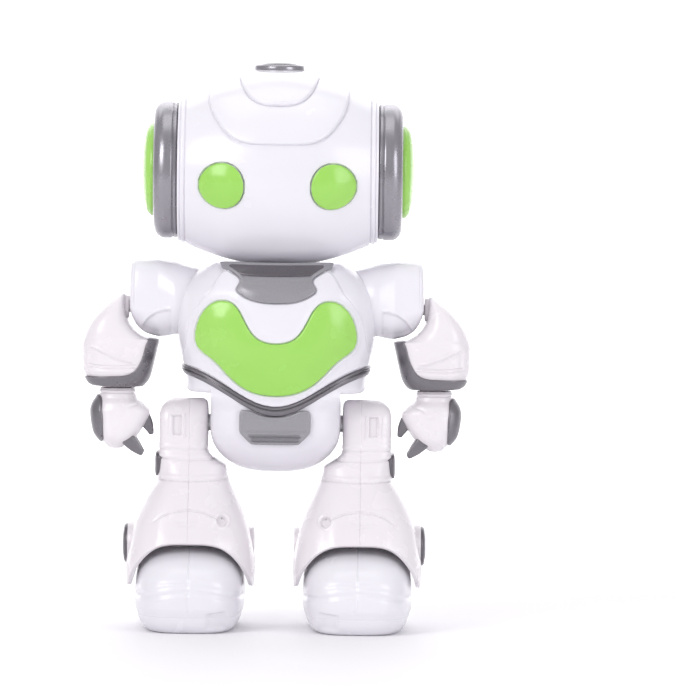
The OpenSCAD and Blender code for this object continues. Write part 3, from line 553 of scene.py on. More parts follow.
# ================================================================== TORSO
ta = Tab([[98,36.2],[110,39.6],[119,41.8],[124,43.4],[135,46.2],[145,47],[155,46.1],[163,41.6],[168,36],[171,30.5]])
tb = Tab([[98,28],[110,30.5],[119,32.2],[124,33.4],[135,35.5],[145,36],[155,34.6],[163,31.2],[168,28],[171,24.5]])
TN = 2.6
def zmid(x): return 121.8 - 19*np.cos(np.minimum(pi/2, pi/2*np.abs(x)/44))**2
def tsurf(u, v, h, s=-1):
    a, b = ta(v), tb(v)
    q = np.clip(np.abs(u)/a, 0, 0.9995)
    y = s*b*(1 - q**TN)**(1/TN)
    gx = np.sign(u)*(q**(TN - 1))/a
    gy = s*(np.abs(y)/b)**(TN - 1)/b
    da = (ta(v + 0.3) - ta(v - 0.3))/0.6; db = (tb(v + 0.3) - tb(v - 0.3))/0.6
    gz = -(q**TN)*da/a - ((np.abs(y)/b)**TN)*db/b
    L = np.sqrt(gx*gx + gy*gy + gz*gz)
    return np.stack([u + h*gx/L, y + h*gy/L, v + h*gz/L], axis=1)

def arc_t(a0, a1, n, N):
    """Angles spread evenly along a superellipse of exponent N."""
    t = np.linspace(a0, a1, 4001); x, y = sep(t, N)
    s = np.concatenate([[0], np.cumsum(np.hypot(np.diff(x), np.diff(y)))])
    return np.interp(np.linspace(0, s[-1], n), s, t)

def ends(t, n=5):
    """Adds samples close to both ends of a list of angles."""
    d0, d1 = (t[1] - t[0]), (t[-1] - t[-2])
    return np.concatenate([[t[0]], t[0] + d0*np.array([0.1, 0.25, 0.5]), t[1:-1], t[-1] - d1*np.array([0.5, 0.25, 0.1]), [t[-1]]])

chest_hi = [(0, 168.2), (20, 168.2), (25.2, 166.6), (27.6, 162.5), (29.6, 158.6), (34.2, 153.6), (38.4, 147.6), (40.3, 141), (41.3, 134), (42.6, 128)]
def torso_half(name, a, nodes, disp):
    t = ends(arc_t(a, a + pi, 150, TN))
    c, s = sep(t, TN)
    x0 = ta(110)*c
    lo = zmid(x0) + 2.0
    w = near_ends(0, 1, 90, per=60, fine=(0.1, 0.25, 0.5, 0.9))
    rows = []
    for q in w:
        z = lo + (171 - lo)*q
        rows.append(np.stack([ta(z)*c, tb(z)*s, z], axis=1))
    top = rows[-1]
    neck = np.stack([15*np.cos(t), 15*np.sin(t), np.full(len(t), 169.4)], axis=1)
    for q in (0.06, 0.14, 0.25, 0.4, 0.6, 0.8, 1.0):
        r = top + (neck - top)*q
        r[:, 2] += 0.5*math.sin(pi*min(1, q*1.6))*(1 - q)
        rows.append(r)
    return shell(name, np.array(rows), WHITE, "torso", nodes, th=1.8, er=0.3, disp=disp, rows=(True, False))

def front_disp(P, N):
    x, z = np.abs(P[..., 0]), P[..., 2]
    o = groove(dist_line(x, z, [(25.6, 170)] + [p for p in chest_hi[2:]]), 1.15, 0.7)
    o = o + 0.4*smooth((dist_line(x, z, [(30.2, 170), (30.6, 163.5), (33.6, 159.4), (38.4, 154.2), (42.6, 147.6), (44.2, 141), (45.2, 130)]) - 0.0)/1.0)*0
    return o
def back_disp(P, N):
    x, z = np.abs(P[..., 0]), P[..., 2]
    o = groove(dist_line(x, z, [(0, 153.2), (23.6, 153.2), (24.2, 152.4), (24.2, 119)]), 0.6, 0.7)
    for px, pz in ((33, 130), (25, 160)):
        q = np.hypot(x - px, z - pz)
        o = o - 1.3*(1 - smooth((q - 2.3)/0.6)) + 0.3*(1 - smooth(np.abs(q - 3.3)/0.6))
    return o
tf = torso_half("chest_casing_front", pi, ["chest_front_shell"], front_disp)
tk = torso_half("chest_casing_back", 0.0, ["chest_back_shell"], back_disp)

def cut(ob, cutter_objs):
    for c in cutter_objs:
        m = ob.modifiers.new("cut", "BOOLEAN"); m.operation = "DIFFERENCE"; m.solver = "EXACT"; m.object = c
    dg = bpy.context.evaluated_depsgraph_get()
    ev = ob.evaluated_get(dg)
    me = bpy.data.meshes.new_from_object(ev, preserve_all_data_layers=True, depsgraph=dg)
    ob.modifiers.clear()
    ob.data = me
    bm = bmesh.new(); bm.from_mesh(me)
    for e in bm.edges: e.smooth = not (len(e.link_faces) == 2 and e.calc_face_angle(0) > math.radians(40))
    for f in bm.faces: f.smooth = True
    bm.to_mesh(me); bm.free()

def cutter(V, F):
    me = bpy.data.meshes.new("cutter"); me.from_pydata([tuple(v*MM) for v in np.array(V, float)], [], F)
    bm = bmesh.new(); bm.from_mesh(me); bmesh.ops.recalc_face_normals(bm, faces=bm.faces); bm.to_mesh(me); bm.free()
    ob = bpy.data.objects.new("cutter", me); bpy.context.scene.collection.objects.link(ob)
    return ob
def cone_x(x0, r0, x1, r1, y, z, n=96):
    V = []; F = []
    for x, r in ((x0, r0), (x1, r1)):
        for i in range(n):
            a = 2*pi*i/n; V.append((x, y + r*math.cos(a), z + r*math.sin(a)))
    for i in range(n):
        k = (i + 1) % n; F.append((i, k, n + k, n + i))
    F.append(tuple(range(n))); F.append(tuple(range(n, 2*n)))
    return cutter(V, F)
sockets = [cone_x(s*30, 12.3, s*56, 20.1, 0, SHZ) for s in (1, -1)]
for ob in (tf, tk): cut(ob, sockets)
for c in sockets: bpy.data.objects.remove(c, do_unlink=True)

# chest plate, raised, with the shield on it
shield_r = [(0, 134.3), (4.5, 134.7), (8.8, 136.5), (12.0, 140.0), (14.8, 145.2), (17.2, 149.8), (20.2, 152.9), (23.6, 153.8), (27.6, 153.4), (31.4, 150.7),
            (34.4, 146.4), (36.0, 141.2), (36.4, 136.8), (35.6, 133.2), (32.8, 130.4), (28.6, 127.6), (25.0, 124.0), (20.6, 119.0), (16.2, 115.0), (11.0, 112.2), (5.4, 110.8), (0, 110.5)]
shield = chaikin(sym_poly(shield_r), 2)
plate_r = chest_hi + [(42.9, 125.6)] + [(x, float(zmid(x)) + 2.5) for x in (41, 37, 32, 27, 22, 17, 12, 7, 3.5, 0)]
plate_o = chaikin(sym_poly(plate_r), 2)
# neck collar
col_r = [(0, 170.2), (12, 170.3), (21, 170.4), (25.6, 170.2), (26.0, 169.4), (22.6, 167.6), (18.6, 165.6), (16.2, 163.6), (16.4, 161.6), (17.8, 159.8), (18.2, 158.6),
         (17.0, 157.2), (13.4, 155.2), (9.4, 153.8), (4.6, 153.1), (0, 153.0)]
col = chaikin(sym_poly(col_r), 2)
def plate_h(u, v):
    d = dist_line(u, v, shield[::3], True)
    o = 0.65*(1 - smooth((d - 0.4) / 2.6))                   # soft raised bead round the shield
    o = o + groove(d, 0.9, 1.3)
    o = o + groove(dist_line(u, v, col[::2], True), 0.8, 0.8)
    return o
plate("chest_raised_plate", plate_o, tsurf, 1.35, WHITE, "torso", ["chest_plate"], er=0.6, depth=2.4, step=1.15, ring_step=0.8, hfun=plate_h,
      extra=beside(shield, (0.0, 0.4, -0.4, 0.8, -0.8, 1.3, -1.3, 2.0)) + beside(col, (0.0, 0.4, -0.4, 0.8, -0.8)))
def shield_h(u, v):
    d = dist_line(u, v, shield[::3], True)
    return 0.75*smooth(d / 9.0)
plate("chest_shield_green", shield, tsurf, 2.5, GREEN, "torso", ["chest_shield"], er=0.95, depth=1.9, step=1.0, ring_step=0.7, hfun=shield_h)

def col_h(u, v):
    d = dist_line(u, v, col[::3], True)
    return -0.9*smooth((v - 163.2) / 1.6)*smooth((d - 0.9) / 0.9) + 0.35*smooth((161.5 - v) / 3)*smooth((d - 1.2) / 1.5) - 0.35*(1 - smooth(np.abs(v - 162.6)/0.5))*smooth((d - 0.9)/0.6)
plate("neck_collar_trim", col, tsurf, 2.4, GREYL, "torso", ["neck_collar"], er=0.55, depth=2.6, step=0.9, ring_step=0.6, hfun=col_h)

# dark grey plate over the top of the collar, just under the head: painted shade standing for the head's shadow on the
# collar
collar_shade_outline = chaikin(sym_poly([(0, 170.2), (12, 170.3), (21, 170.4), (25.0, 170.15), (25.2, 169.6), (22.6, 168.2), (19.6, 166.9), (17.6, 165.6), (14, 165.0), (0, 164.6)]), 2)
plate("neck_collar_painted_shade", collar_shade_outline, tsurf, 2.2, GREYD, "torso", er=0.5, depth=2.2, step=0.9, ring_step=0.6)

# waist band, a bead all round
def waist():
    t = arc_t(0, 2*pi, 360, TN)[:-1]
    c, s = sep(t, TN)
    x0 = ta(110)*c
    prof = [(-2.4, -2.2), (-2.4, 0.3), (-2.25, 0.95), (-1.8, 1.4), (-1.1, 1.62), (-0.2, 1.7), (0.12, 1.55), (0.25, 1.05), (0.5, 0.95), (0.75, 1.1), (0.9, 1.45), (1.2, 1.5), (1.65, 1.3), (2.0, 0.9), (2.15, 0.3), (2.15, -2.2)]
    rows = []
    for k, o in prof:
        z = zmid(x0) + k
        a, b = ta(z) + o, tb(z) + o
        rows.append(np.stack([a*c, b*s, z], axis=1))
    P = np.array(rows); R, C = P.shape[:2]
    F = [(i*C + j, i*C + (j+1) % C, ((i+1) % R)*C + (j+1) % C, ((i+1) % R)*C + j) for i in range(R) for j in range(C)]
    make("waist_band_trim", P.reshape(-1, 3), F, GREYM, "torso", ["waist_band"])
waist()

# pelvis bowl and hip skirts
pa = Tab([[73.5,7],[74.4,13],[76.6,19],[80,24],[84,27.6],[88,29.5],[92,30.3],[98,30.5],[122,30.5]])
pb = Tab([[73.5,7],[74.4,12],[76.6,16.8],[80,20.8],[84,24],[88,26],[92,27.3],[98,28],[110,28.6],[122,29.4]])
pn = Tab([[73.5,2.2],[80,2.6],[88,3.4],[96,4.2],[122,4.4]])
SKA, SKB, SKN = 42.3, 31.0, 2.8
def skirt_y(x): return SKB*(1 - np.clip(np.abs(x)/SKA, 0, 0.9999)**SKN)**(1/SKN)
def bowl_pt(z, c, s):
    x = pa(z)*c
    y0 = pb(z)*s
    y1 = np.sign(s)*skirt_y(x)
    w = smooth((z - 102.0)/8.0)*smooth((1 - np.abs(c))/0.02)
    return x, np.where(np.abs(s) > 1e-6, y0 + (y1 - y0)*w, y0)
def psurf(u, v, h):
    a, b, n = pa(v), pb(v), pn(v)
    q = np.clip(np.abs(u)/a, 0, 0.999)
    y0 = b*(1 - q**n)**(1/n)
    w = smooth((v - 102.0)/8.0)
    y = -(y0 + (skirt_y(u) - y0)*w)
    return np.stack([u, y - h, v - 0.12*h], axis=1)
def pelvis_half(name, a, nodes, disp=None):
    t = ends(np.linspace(a, a + pi, 150))
    base = np.concatenate([np.linspace(0, 0.05, 10)[:-1], np.linspace(0.05, 0.22, 20)[:-1], np.linspace(0.22, 1, 72)])
    rows = []
    for w in base:
        z = 73.5 + (108.0 - 73.5)*w
        for _ in range(3):                       # each column ends under the waist band
            c, s = sep(t, pn(z))
            top = zmid(pa(z)*c) - 1.4
            z = 73.5 + (top - 73.5)*w
        c, s = sep(t, pn(z))
        x, y = bowl_pt(z, c, s)
        rows.append(np.stack([x, y, z + 0*x], axis=1))
    return shell(name, np.array(rows), WHITE, "torso", nodes, th=1.8, er=0.0, disp=disp, cap0=True, rows=(False, False))
pelvis_half("pelvis_casing_front", pi, ["pelvis_front_shell"])
pelvis_half("pelvis_casing_back", 0.0, ["pelvis_back_shell"])

def skirt(side):
    phi = np.linspace(-1, 1, 121)
    # plan outline from x = 28.5 at the front, round the outside, to x = 28.5 at the back
    tt = np.linspace(-pi/2, pi/2, 2001)
    c, s = sep(tt, SKN)
    X, Y = SKA*c, SKB*s
    k = X >= 27.5
    X, Y = X[k], Y[k]
    L = np.concatenate([[0], np.cumsum(np.hypot(np.diff(X), np.diff(Y)))])
    q = np.linspace(0, L[-1], 140)
    X, Y = np.interp(q, L, X), np.interp(q, L, Y)
    top = np.maximum(zmid(0.95*X) - 1.4, 111.4)
    r = 3.2
    rows = []
    cx = np.array([30.5, 0.0])
    dirx, diry = X - cx[0], Y*1.0
    ln = np.hypot(dirx, diry) + 1e-9
    for a in np.linspace(0, pi/2, 14):
        ins = r*(1 - math.sin(a))
        z = 110.8 + r*(1 - math.cos(a))
        rows.append(np.stack([X - dirx/ln*ins, Y - diry/ln*ins, np.minimum(z, top)], axis=1))
    for f in np.linspace(0.1, 1, 10):
        z0 = 110.8 + r
        rows.append(np.stack([X, Y, z0 + (np.maximum(top, z0) - z0)*f], axis=1))
    P = np.array(rows); R, C = P.shape[:2]
    V = [P.reshape(-1, 3)]
    F = [(i*C + j, i*C + j + 1, (i+1)*C + j + 1, (i+1)*C + j) for i in range(R - 1) for j in range(C - 1)]
    n = R*C
    # closing face at the inside, then the lids
    for rr in (0, R - 1):
        V.append(np.array([[28.0, 0, P[rr][:, 2].min() if rr == 0 else P[rr][:, 2].mean()]])); c0 = n; n += 1
        for j in range(C - 1): F.append((rr*C + j, rr*C + j + 1, c0))
    lo, hi = n - 2, n - 1
    F.append(tuple([lo] + [i*C for i in range(R)] + [hi]))
    F.append(tuple([hi] + [i*C + C - 1 for i in range(R - 1, -1, -1)] + [lo]))
    make("hip_skirt_" + ("left" if side > 0 else "right"), np.vstack(V), F, WHITE, "torso", (), mirror=(side < 0))
skirt(1); skirt(-1)

# belly plate with two ridges
belly_r = [(0, 100.3), (4, 100.5), (7.5, 101.4), (10.4, 102.8), (12.6, 103.4), (15.6, 103.3), (16.5, 102.4), (16.6, 98), (16.5, 93.6), (15.8, 92.2), (11.6, 88.0), (10.6, 87.5), (5, 87.4), (0, 87.4)]
belly = chaikin(sym_poly(belly_r), 2)
def belly_h(u, v):
    d = dist_line(u, v, belly[::2], True)
    o = -0.35*smooth((d - 1.0)/0.6)*smooth((v - 93.4)/0.6)
    for vc, hw in ((91.9, 12.6), (89.9, 11.6)):
        o = o + 0.75*(1 - smooth(np.abs(v - vc)/0.55))*smooth((hw - np.abs(u))/0.8)
        o = o + groove(np.abs(v - vc + 0.95), 0.45, 0.5)*smooth((hw - np.abs(u))/0.8)
    return o
plate("belly_plate_trim", belly, psurf, 1.9, GREYL, "torso", ["belly_plate"], er=0.6, depth=2.6, step=0.5, ring_step=0.55, hfun=belly_h)

# battery door on the back
door_r = [(0, 151.3), (20, 151.3), (21.4, 150.9), (21.9, 149.6), (21.9, 124), (21.5, 121.2), (20.2, 120.6), (0, 120.6)]
def door_h(u, v):
    o = np.zeros(u.shape)
    for k in range(5):
        o += 0.5*(1 - smooth(np.abs(v - (125.2 + 1.9*k))/0.75))*smooth((8.5 - np.abs(u))/1.2)
    q = np.hypot(u, v - 147)
    o += -1.1*(1 - smooth((q - 3.1)/0.5))
    return o
door = chaikin(sym_poly(door_r), 1)
def tsurf_b(u, v, h): return tsurf(u, v, h, 1)
plate("battery_cover", door, tsurf_b, 0.85, WHITE, "torso", ["battery_door"], er=0.5, depth=2.4, step=0.75, ring_step=0.6, hfun=door_h)

# screws: pan heads with a cross, in moulded wells
def screw(name, p, d, body, nodes=(), r=2.1, mat=None):
    """Screw head at p facing along d."""
    z = Vector(d).normalized()
    M = z.to_track_quat("Z", "Y").to_matrix().to_4x4(); M.translation = Vector(p)
    prof = [(0.0, -1.2), (1.1, -1.2), (1.1, 0.0), (r, 0.0), (r + 0.02, 0.25), (r*0.93, 0.6), (r*0.75, 0.85), (r*0.45, 1.0)]
    seg = 48; V = []; F = []
    t = np.linspace(0, 2*pi, seg, endpoint=False)
    cr = lambda x, y: max(0.0, 1 - smooth((min(abs(x), abs(y)) - 0.16)/0.12))*float(max(abs(x), abs(y)) < r*0.62)
    rad = [x for x, _ in prof] + list(np.linspace(r*0.42, 0.0, 9))
    hh = [h for _, h in prof] + [1.0 + 0.03*(1 - q) for q in np.linspace(1, 0, 9)]
    for R_, h in zip(rad, hh):
        for a in t:
            x, y = R_*math.cos(a), R_*math.sin(a)
            V.append((x, y, h - (0.5*float(cr(x, y)) if h > 0.8 else 0)))
    n = len(rad)
    for i in range(n - 1):
        for j in range(seg):
            k = (j + 1) % seg; F.append((i*seg + j, i*seg + k, (i+1)*seg + k, (i+1)*seg + j))
    V = np.array(V) @ np.array(M.to_3x3()).T + np.array(M.translation)
    return make(name, V, F, mat or STEEL, body, nodes)

# ================================================================== ARMS (drawn on +X, mirrored)
class Sections:
    """Smooth curves through the numbers of each section, as functions of the first one."""
    def __init__(self, rows, n=None):
        a = np.array(rows, float); self.k = [Tab(np.stack([a[:, 0], a[:, i]], axis=1)) for i in range(1, a.shape[1])]
        self.lo, self.hi = a[0, 0], a[-1, 0]
    def __call__(self, q): return [f(q) for f in self.k]

sh = Sections([[35.5,154,13.6,13.6,13.6,2,2],[47,154,17,17,17,2,2],[50,152.8,16.1,18.6,16.3,2.3,2],[53,150.8,14.8,21,14.8,2.8,2],
  [56,149.7,13.8,22.5,13.6,3.2,2],[60,149.7,13.8,22.6,12.6,3.2,1.9],[64,149.7,13.6,22.5,10.2,3.2,1.8],
  [66.4,149.7,13.2,22,7.2,3.2,1.8],[67.9,149.7,12.3,20.9,4,3,1.8],[68.5,149.7,11,19.3,1.6,2.8,1.8]])
def sh_ring(x, t):
    cz, d, up, dn, n1, n2 = [float(v) for v in sh(x)]
    u = np.sin(t) >= -1e-9
    c1, s1 = sep(t, n1); c2, s2 = sep(t, n2)
    c = np.where(u, c1, c2); s = np.where(u, s1, s2)
    return np.stack([np.full(len(t), x), d*c, cz + np.where(u, up, dn)*s], axis=1)
def sh_disp(P, N):
    x, y, z = P[..., 0], P[..., 1], P[..., 2]
    fr = smooth((np.abs(y) - 4)/3)
    o = groove(np.abs(x - 66.7), 0.5, 0.4)*(z > 150)
    # stepped lower facet
    step = [(47.5, 148.9), (52, 148.6), (56.5, 147.3), (60.2, 144.6), (62.8, 140.9), (64, 137)]
    zl = np.interp(x, [p[0] for p in step], [p[1] for p in step])
    k = (x > 47.5) & (x < 66)
    o = o - 0.9*smooth((zl - z)/0.7)*smooth((x - 48.5)/1.5)*smooth((66.0 - x)/1.5)*fr
    o = o + 0.45*(1 - smooth(np.abs(z - zl - 0.9)/0.8))*smooth((x - 48.5)/1.5)*smooth((65 - x)/1.5)*fr
    return o
def shoulder(side):
    m = side < 0
    xs = np.concatenate([np.linspace(35.5, 47, 16)[:-1], np.linspace(47, 66, 64)[:-1], np.linspace(66, 68.5, 22)])
    t = np.linspace(0, 2*pi, 160, endpoint=False)
    P = np.array([sh_ring(x, t) for x in xs])
    last = P[-1]; cen = last.mean(axis=0)
    ext = [cen + (last - cen)*f + np.array([0.25*math.sqrt(1 - f*f), 0, 0]) for f in (0.96, 0.9, 0.8, 0.6, 0.35)]
    P = np.concatenate([P, np.array(ext)])
    nm = "left" if side > 0 else "right"
    shell("shoulder_cap_" + nm, P, WHITE, nm + "_upper_arm", [nm + "_shoulder_shell"], ring=True, th=1.6, er=0.0, disp=sh_disp, cap1=True,
          mirror=m, rows=(False, False))

fa = Sections([[112.5,62.8,86.2,13,2.6],[115,60.6,88,14.9,2.8],[117.5,59.4,89.2,15.8,2.9],[123.5,57.8,90.8,17,3],[131.5,56,91,17.3,3],
  [134.4,55.4,90.4,17.2,3],[135.8,61.2,90,17.1,3],[138.5,65.8,89,16.8,3],[143,69.3,86.6,15.6,2.8],[147,70.4,83.5,14,2.6],
  [151,70.7,79.3,11.6,2.4],[154,70.8,75.6,9,2.2],[155.6,71,73.2,6.5,2]])
def fa_pt(z, t, o=0.0):
    xi, xo, d, n = fa(z)
    c, s = np.cos(t), np.sin(t)
    c = np.sign(c)*np.abs(c)**(2/n); s = np.sign(s)*np.abs(s)**(2/n)
    return np.stack([(xi + xo)/2 + ((xo - xi)/2 + o)*c, (d + o)*s, z + 0*t], axis=-1)
def fa_disp(P, N):
    x, y, z = P[..., 0], P[..., 1], P[..., 2]
    fr = smooth((np.abs(y) - 6)/3)
    o = 0*x
    # slanted crease and the double line under it
    d = dist_line(x, z, [(66.5, 124.2), (70.5, 124.9), (77, 127.2), (82.5, 129.9), (86.6, 131.6)])
    zc = np.interp(x, [66.5, 70.5, 77, 82.5, 86.6], [124.2, 124.9, 127.2, 129.9, 131.6])
    w = smooth((x - 65.5)/3)*smooth((88.5 - x)/2)
    o = o - 0.85*w*fr*smooth((zc - z)/1.2)*smooth((z - 118.5)/6) + 0.4*w*fr*(1 - smooth(np.abs(z - zc - 0.5)/0.9))
    for k, (za, dp) in enumerate(((122.6, 0.6), (121.2, 0.5))):
        dd = dist_line(x, z, [(65.6, za), (74, za - 0.4), (82, za - 0.2), (87.4, za + 0.5)])
        o = o + groove(dd, 0.7, dp)*fr
    return o
trim_e = [(0, 135.4), (30, 135.3), (48, 134.9), (52.5, 133.6), (53.5, 130), (55, 126.6), (58.5, 123.6), (64, 120.9), (72, 119.0), (82, 118.0), (96, 117.6), (120, 117.5), (179.6, 117.5)]
def forearm(side):
    m = side < 0; nm = "left" if side > 0 else "right"
    zs = np.concatenate([near_ends(112.6, 134.4, 74, last=False), np.linspace(134.4, 135.8, 16)[1:], np.linspace(135.8, 155.6, 62)[1:]])
    t = np.linspace(0, 2*pi, 176, endpoint=False)
    P = np.array([fa_pt(z, t, -0.25*smooth((120.0 - z)/1.5)) for z in zs])
    last = P[-1]; cen = last.mean(axis=0)
    ext = [cen + (last - cen)*f + np.array([0, 0, 0.45*math.sqrt(1 - f*f)]) for f in (0.95, 0.85, 0.65, 0.35)]
    P = np.concatenate([P, np.array(ext)])
    shell("forearm_sleeve_" + nm, P, WHITE2, nm + "_forearm", [nm + "_forearm_shell"], ring=True, th=1.6, er=0.45, disp=fa_disp, cap1=True, mirror=m,
          rows=(True, False))
    lathe("elbow_hub_" + nm, [(0, 69.0), (4.9, 69.0), (5.3, 69.25), (5.5, 69.7), (5.5, 72.5), (0, 72.5)], WHITE2, nm + "_forearm", at=(0, 0, ELZ), seg=72, mirror=m)
    R = 16.5
    up = [(a, z) for a, z in trim_e]
    right = [(math.radians(a)*R, z) for a, z in up] + [(math.radians(179.6)*R, 112.7)]
    outline = chaikin([(x, z) for x, z in right] + [(-x, z) for x, z in reversed(right) if x > 0.01], 2)
    lo = min(p[1] for p in right)
    def surf(u, v, h):
        t = pi + u/R
        P0 = fa_pt(v, t)
        e = 0.02
        a = fa_pt(v, t + e) - fa_pt(v, t - e); b = fa_pt(np.minimum(v + 0.15, 134.3), t) - fa_pt(np.minimum(v + 0.15, 134.3) - 0.3, t)
        n = np.cross(a, b); n /= np.linalg.norm(n, axis=1, keepdims=True) + 1e-9
        n[:, 2] *= 0.3
        return P0 + n*np.asarray(h)[:, None]
    plate("forearm_band_" + nm, outline, surf, 0.75, GREYM, nm + "_forearm", [nm + "_forearm_trim"], er=0.55, depth=1.7, step=1.0, ring_step=0.6, mirror=m)

ha = Sections([[84.4,71,78.5,7,2.2],[87,67,81,10,2.4],[90,64.2,83,11.8,2.6],[94.5,61.4,84.4,12.5,2.8],[101,58.8,85.2,12.3,2.8],
  [104.5,61.5,84.3,11.3,2.6],[107.5,65.2,83,9.4,2.4],[112,66,82.2,8.6,2.4]])
def ha_pt(z, t, o=0.0):
    xi, xo, d, n = ha(z)
    c, s = np.cos(t), np.sin(t)
    c = np.sign(c)*np.abs(c)**(2/n); s = np.sign(s)*np.abs(s)**(2/n)
    return np.stack([(xi + xo)/2 + ((xo - xi)/2 + o)*c, (d + o)*s, z + 0*t], axis=-1)
def ha_disp(P, N):
    x, y, z = P[..., 0], P[..., 1], P[..., 2]
    o = groove(np.abs(z - 109.6), 0.6, 0.4) + 0.25*(1 - smooth(np.abs(z - 110.6)/0.6))
    fr = smooth((np.abs(y) - 4)/3)
    o = o + groove(dist_line(x, z, [(63.5, 104.8), (68.5, 103.5), (73, 99), (74.5, 92.5)]), 0.8, 0.35)*fr
    for yy in (-3.7, 3.7):
        o = o + groove(np.hypot(np.maximum(np.abs(y - yy), 0), 0.0*z), 0.8, 0.7)*smooth((93.0 - z)/2)*smooth((79 - x)/3)
    return o
def claw(name, q, r, side, body, nodes=()):
    q = chaikin(q, 2, closed=False); 
    s = np.concatenate([[0], np.cumsum(np.linalg.norm(np.diff(q, axis=0), axis=1))])
    L = s[-1]; ss = np.linspace(0, L, 30)
    Q = np.stack([np.interp(ss, s, q[:, k]) for k in range(3)], axis=1)
    rr = np.interp(ss/L, np.linspace(0, 1, len(r)), r)
    rows = []
    seg = 40; a = np.linspace(0, 2*pi, seg, endpoint=False)
    T = np.gradient(Q, axis=0); T /= np.linalg.norm(T, axis=1, keepdims=True)
    for i in range(len(Q)):
        B = np.array([0, 1.0, 0]); A = np.cross(B, T[i]); A /= np.linalg.norm(A)
        cc, s2 = sep(a, 2.5)
        # long flute along the front and the back
        fl = 1 - 0.22*np.exp(-((np.abs(s2) - 1)/0.16)**2)*min(1, (L - ss[i])/2.5)*min(1, ss[i]/1.5 + 0.2)
        rows.append(Q[i] + np.outer(1.02*rr[i]*cc, A) + np.outer(rr[i]*s2*fl, B))
    cen = rows[0].mean(axis=0)
    rows = [cen + (rows[0] - cen)*f - T[0]*rr[0]*0.75*math.sqrt(1 - f*f) for f in (0.3, 0.6, 0.85)] + rows
    P = np.array(rows); R, C = P.shape[:2]
    V = [P.reshape(-1, 3), P[0].mean(axis=0)[None], P[-1].mean(axis=0)[None]]
    F = [(i*C + j, i*C + (j+1) % C, (i+1)*C + (j+1) % C, (i+1)*C + j) for i in range(R - 1) for j in range(C)]
    F += [(j, (j+1) % C, R*C) for j in range(C)] + [((R-1)*C + j, (R-1)*C + (j+1) % C, R*C + 1) for j in range(C)]
    make(name, np.vstack(V), F, GREYM, body, nodes, mirror=(side < 0), sharp=50)
def hand(side):
    m = side < 0; nm = "left" if side > 0 else "right"
    zs = np.concatenate([np.linspace(84.4, 88, 16)[:-1], np.linspace(88, 112, 84)])
    t = np.linspace(0, 2*pi, 144, endpoint=False)
    P = [ha_pt(z, t) for z in zs]
    cen = P[0].mean(axis=0)
    ext = [cen + (P[0] - cen)*f - np.array([0, 0, 1.1*math.sqrt(1 - f*f)]) for f in (0.3, 0.6, 0.8, 0.92, 0.98)]
    P = np.array(ext + P)
    body = nm + "_hand"
    shell("hand_palm_" + nm, P, WHITE2, body, [nm + "_hand_shell"], ring=True, th=1.5, er=0.4, disp=ha_disp, cap0=True, mirror=m, rows=(False, True))
    # wrist stem
    lathe("wrist_stem_" + nm, [(0, 110.2), (4.0, 110.2), (4.0, 119.2), (6.2, 119.4), (6.2, 121.0), (5.9, 121.2), (0, 121.2)], WHITE2, body, axis="z",
          at=((1 if side > 0 else -1)*WX, 0, 0), seg=64)
    # grey guard on the back of the hand
    R = 12.5
    gr = [(0, 108.6), (7, 108.3), (10.2, 106.6), (11.8, 103), (12.6, 98), (12.4, 93.4), (11.0, 89.8), (8.2, 87.6), (4, 86.9), (0, 86.8)]
    outline = chaikin([(x, z) for x, z in gr] + [(-x, z) for x, z in reversed(gr) if x > 0], 2)
    def surf(u, v, h):
        t = u/R; P0 = ha_pt(v, t); e = 0.02
        n = np.cross(ha_pt(v, t + e) - ha_pt(v, t - e), ha_pt(v + 0.15, t) - ha_pt(v - 0.15, t))
        n /= np.linalg.norm(n, axis=1, keepdims=True) + 1e-9
        return P0 + n*np.asarray(h)[:, None]
    def hf(u, v):
        d = dist_line(u, v, outline[::3], True)
        return 0.7*smooth(d/5.0)
    plate("hand_guard_" + nm, outline, surf, 1.15, GREYM, body, [nm + "_hand_pad"], er=0.8, depth=2.2, step=1.0, ring_step=0.6, hfun=hf, mirror=m)
    claw("hand_thumb_" + nm, [(58.2,-1,90.9), (58.8,-1,92.6), (60.4,-1,96), (63.0,-1,99.8)], [1.3, 2.4, 3.1, 3.4], side, body, [nm + "_hand_claws"])
    for k, y in enumerate((-7.4, 0, 7.4)):
        claw("hand_finger%d_%s" % (k + 1, nm), [(62.7,y,81.6), (64,y,82.8), (67.2,y*0.95,86.1), (70.5,y*0.9,90)], [1.3, 2.5, 3.2, 3.4], side, body)

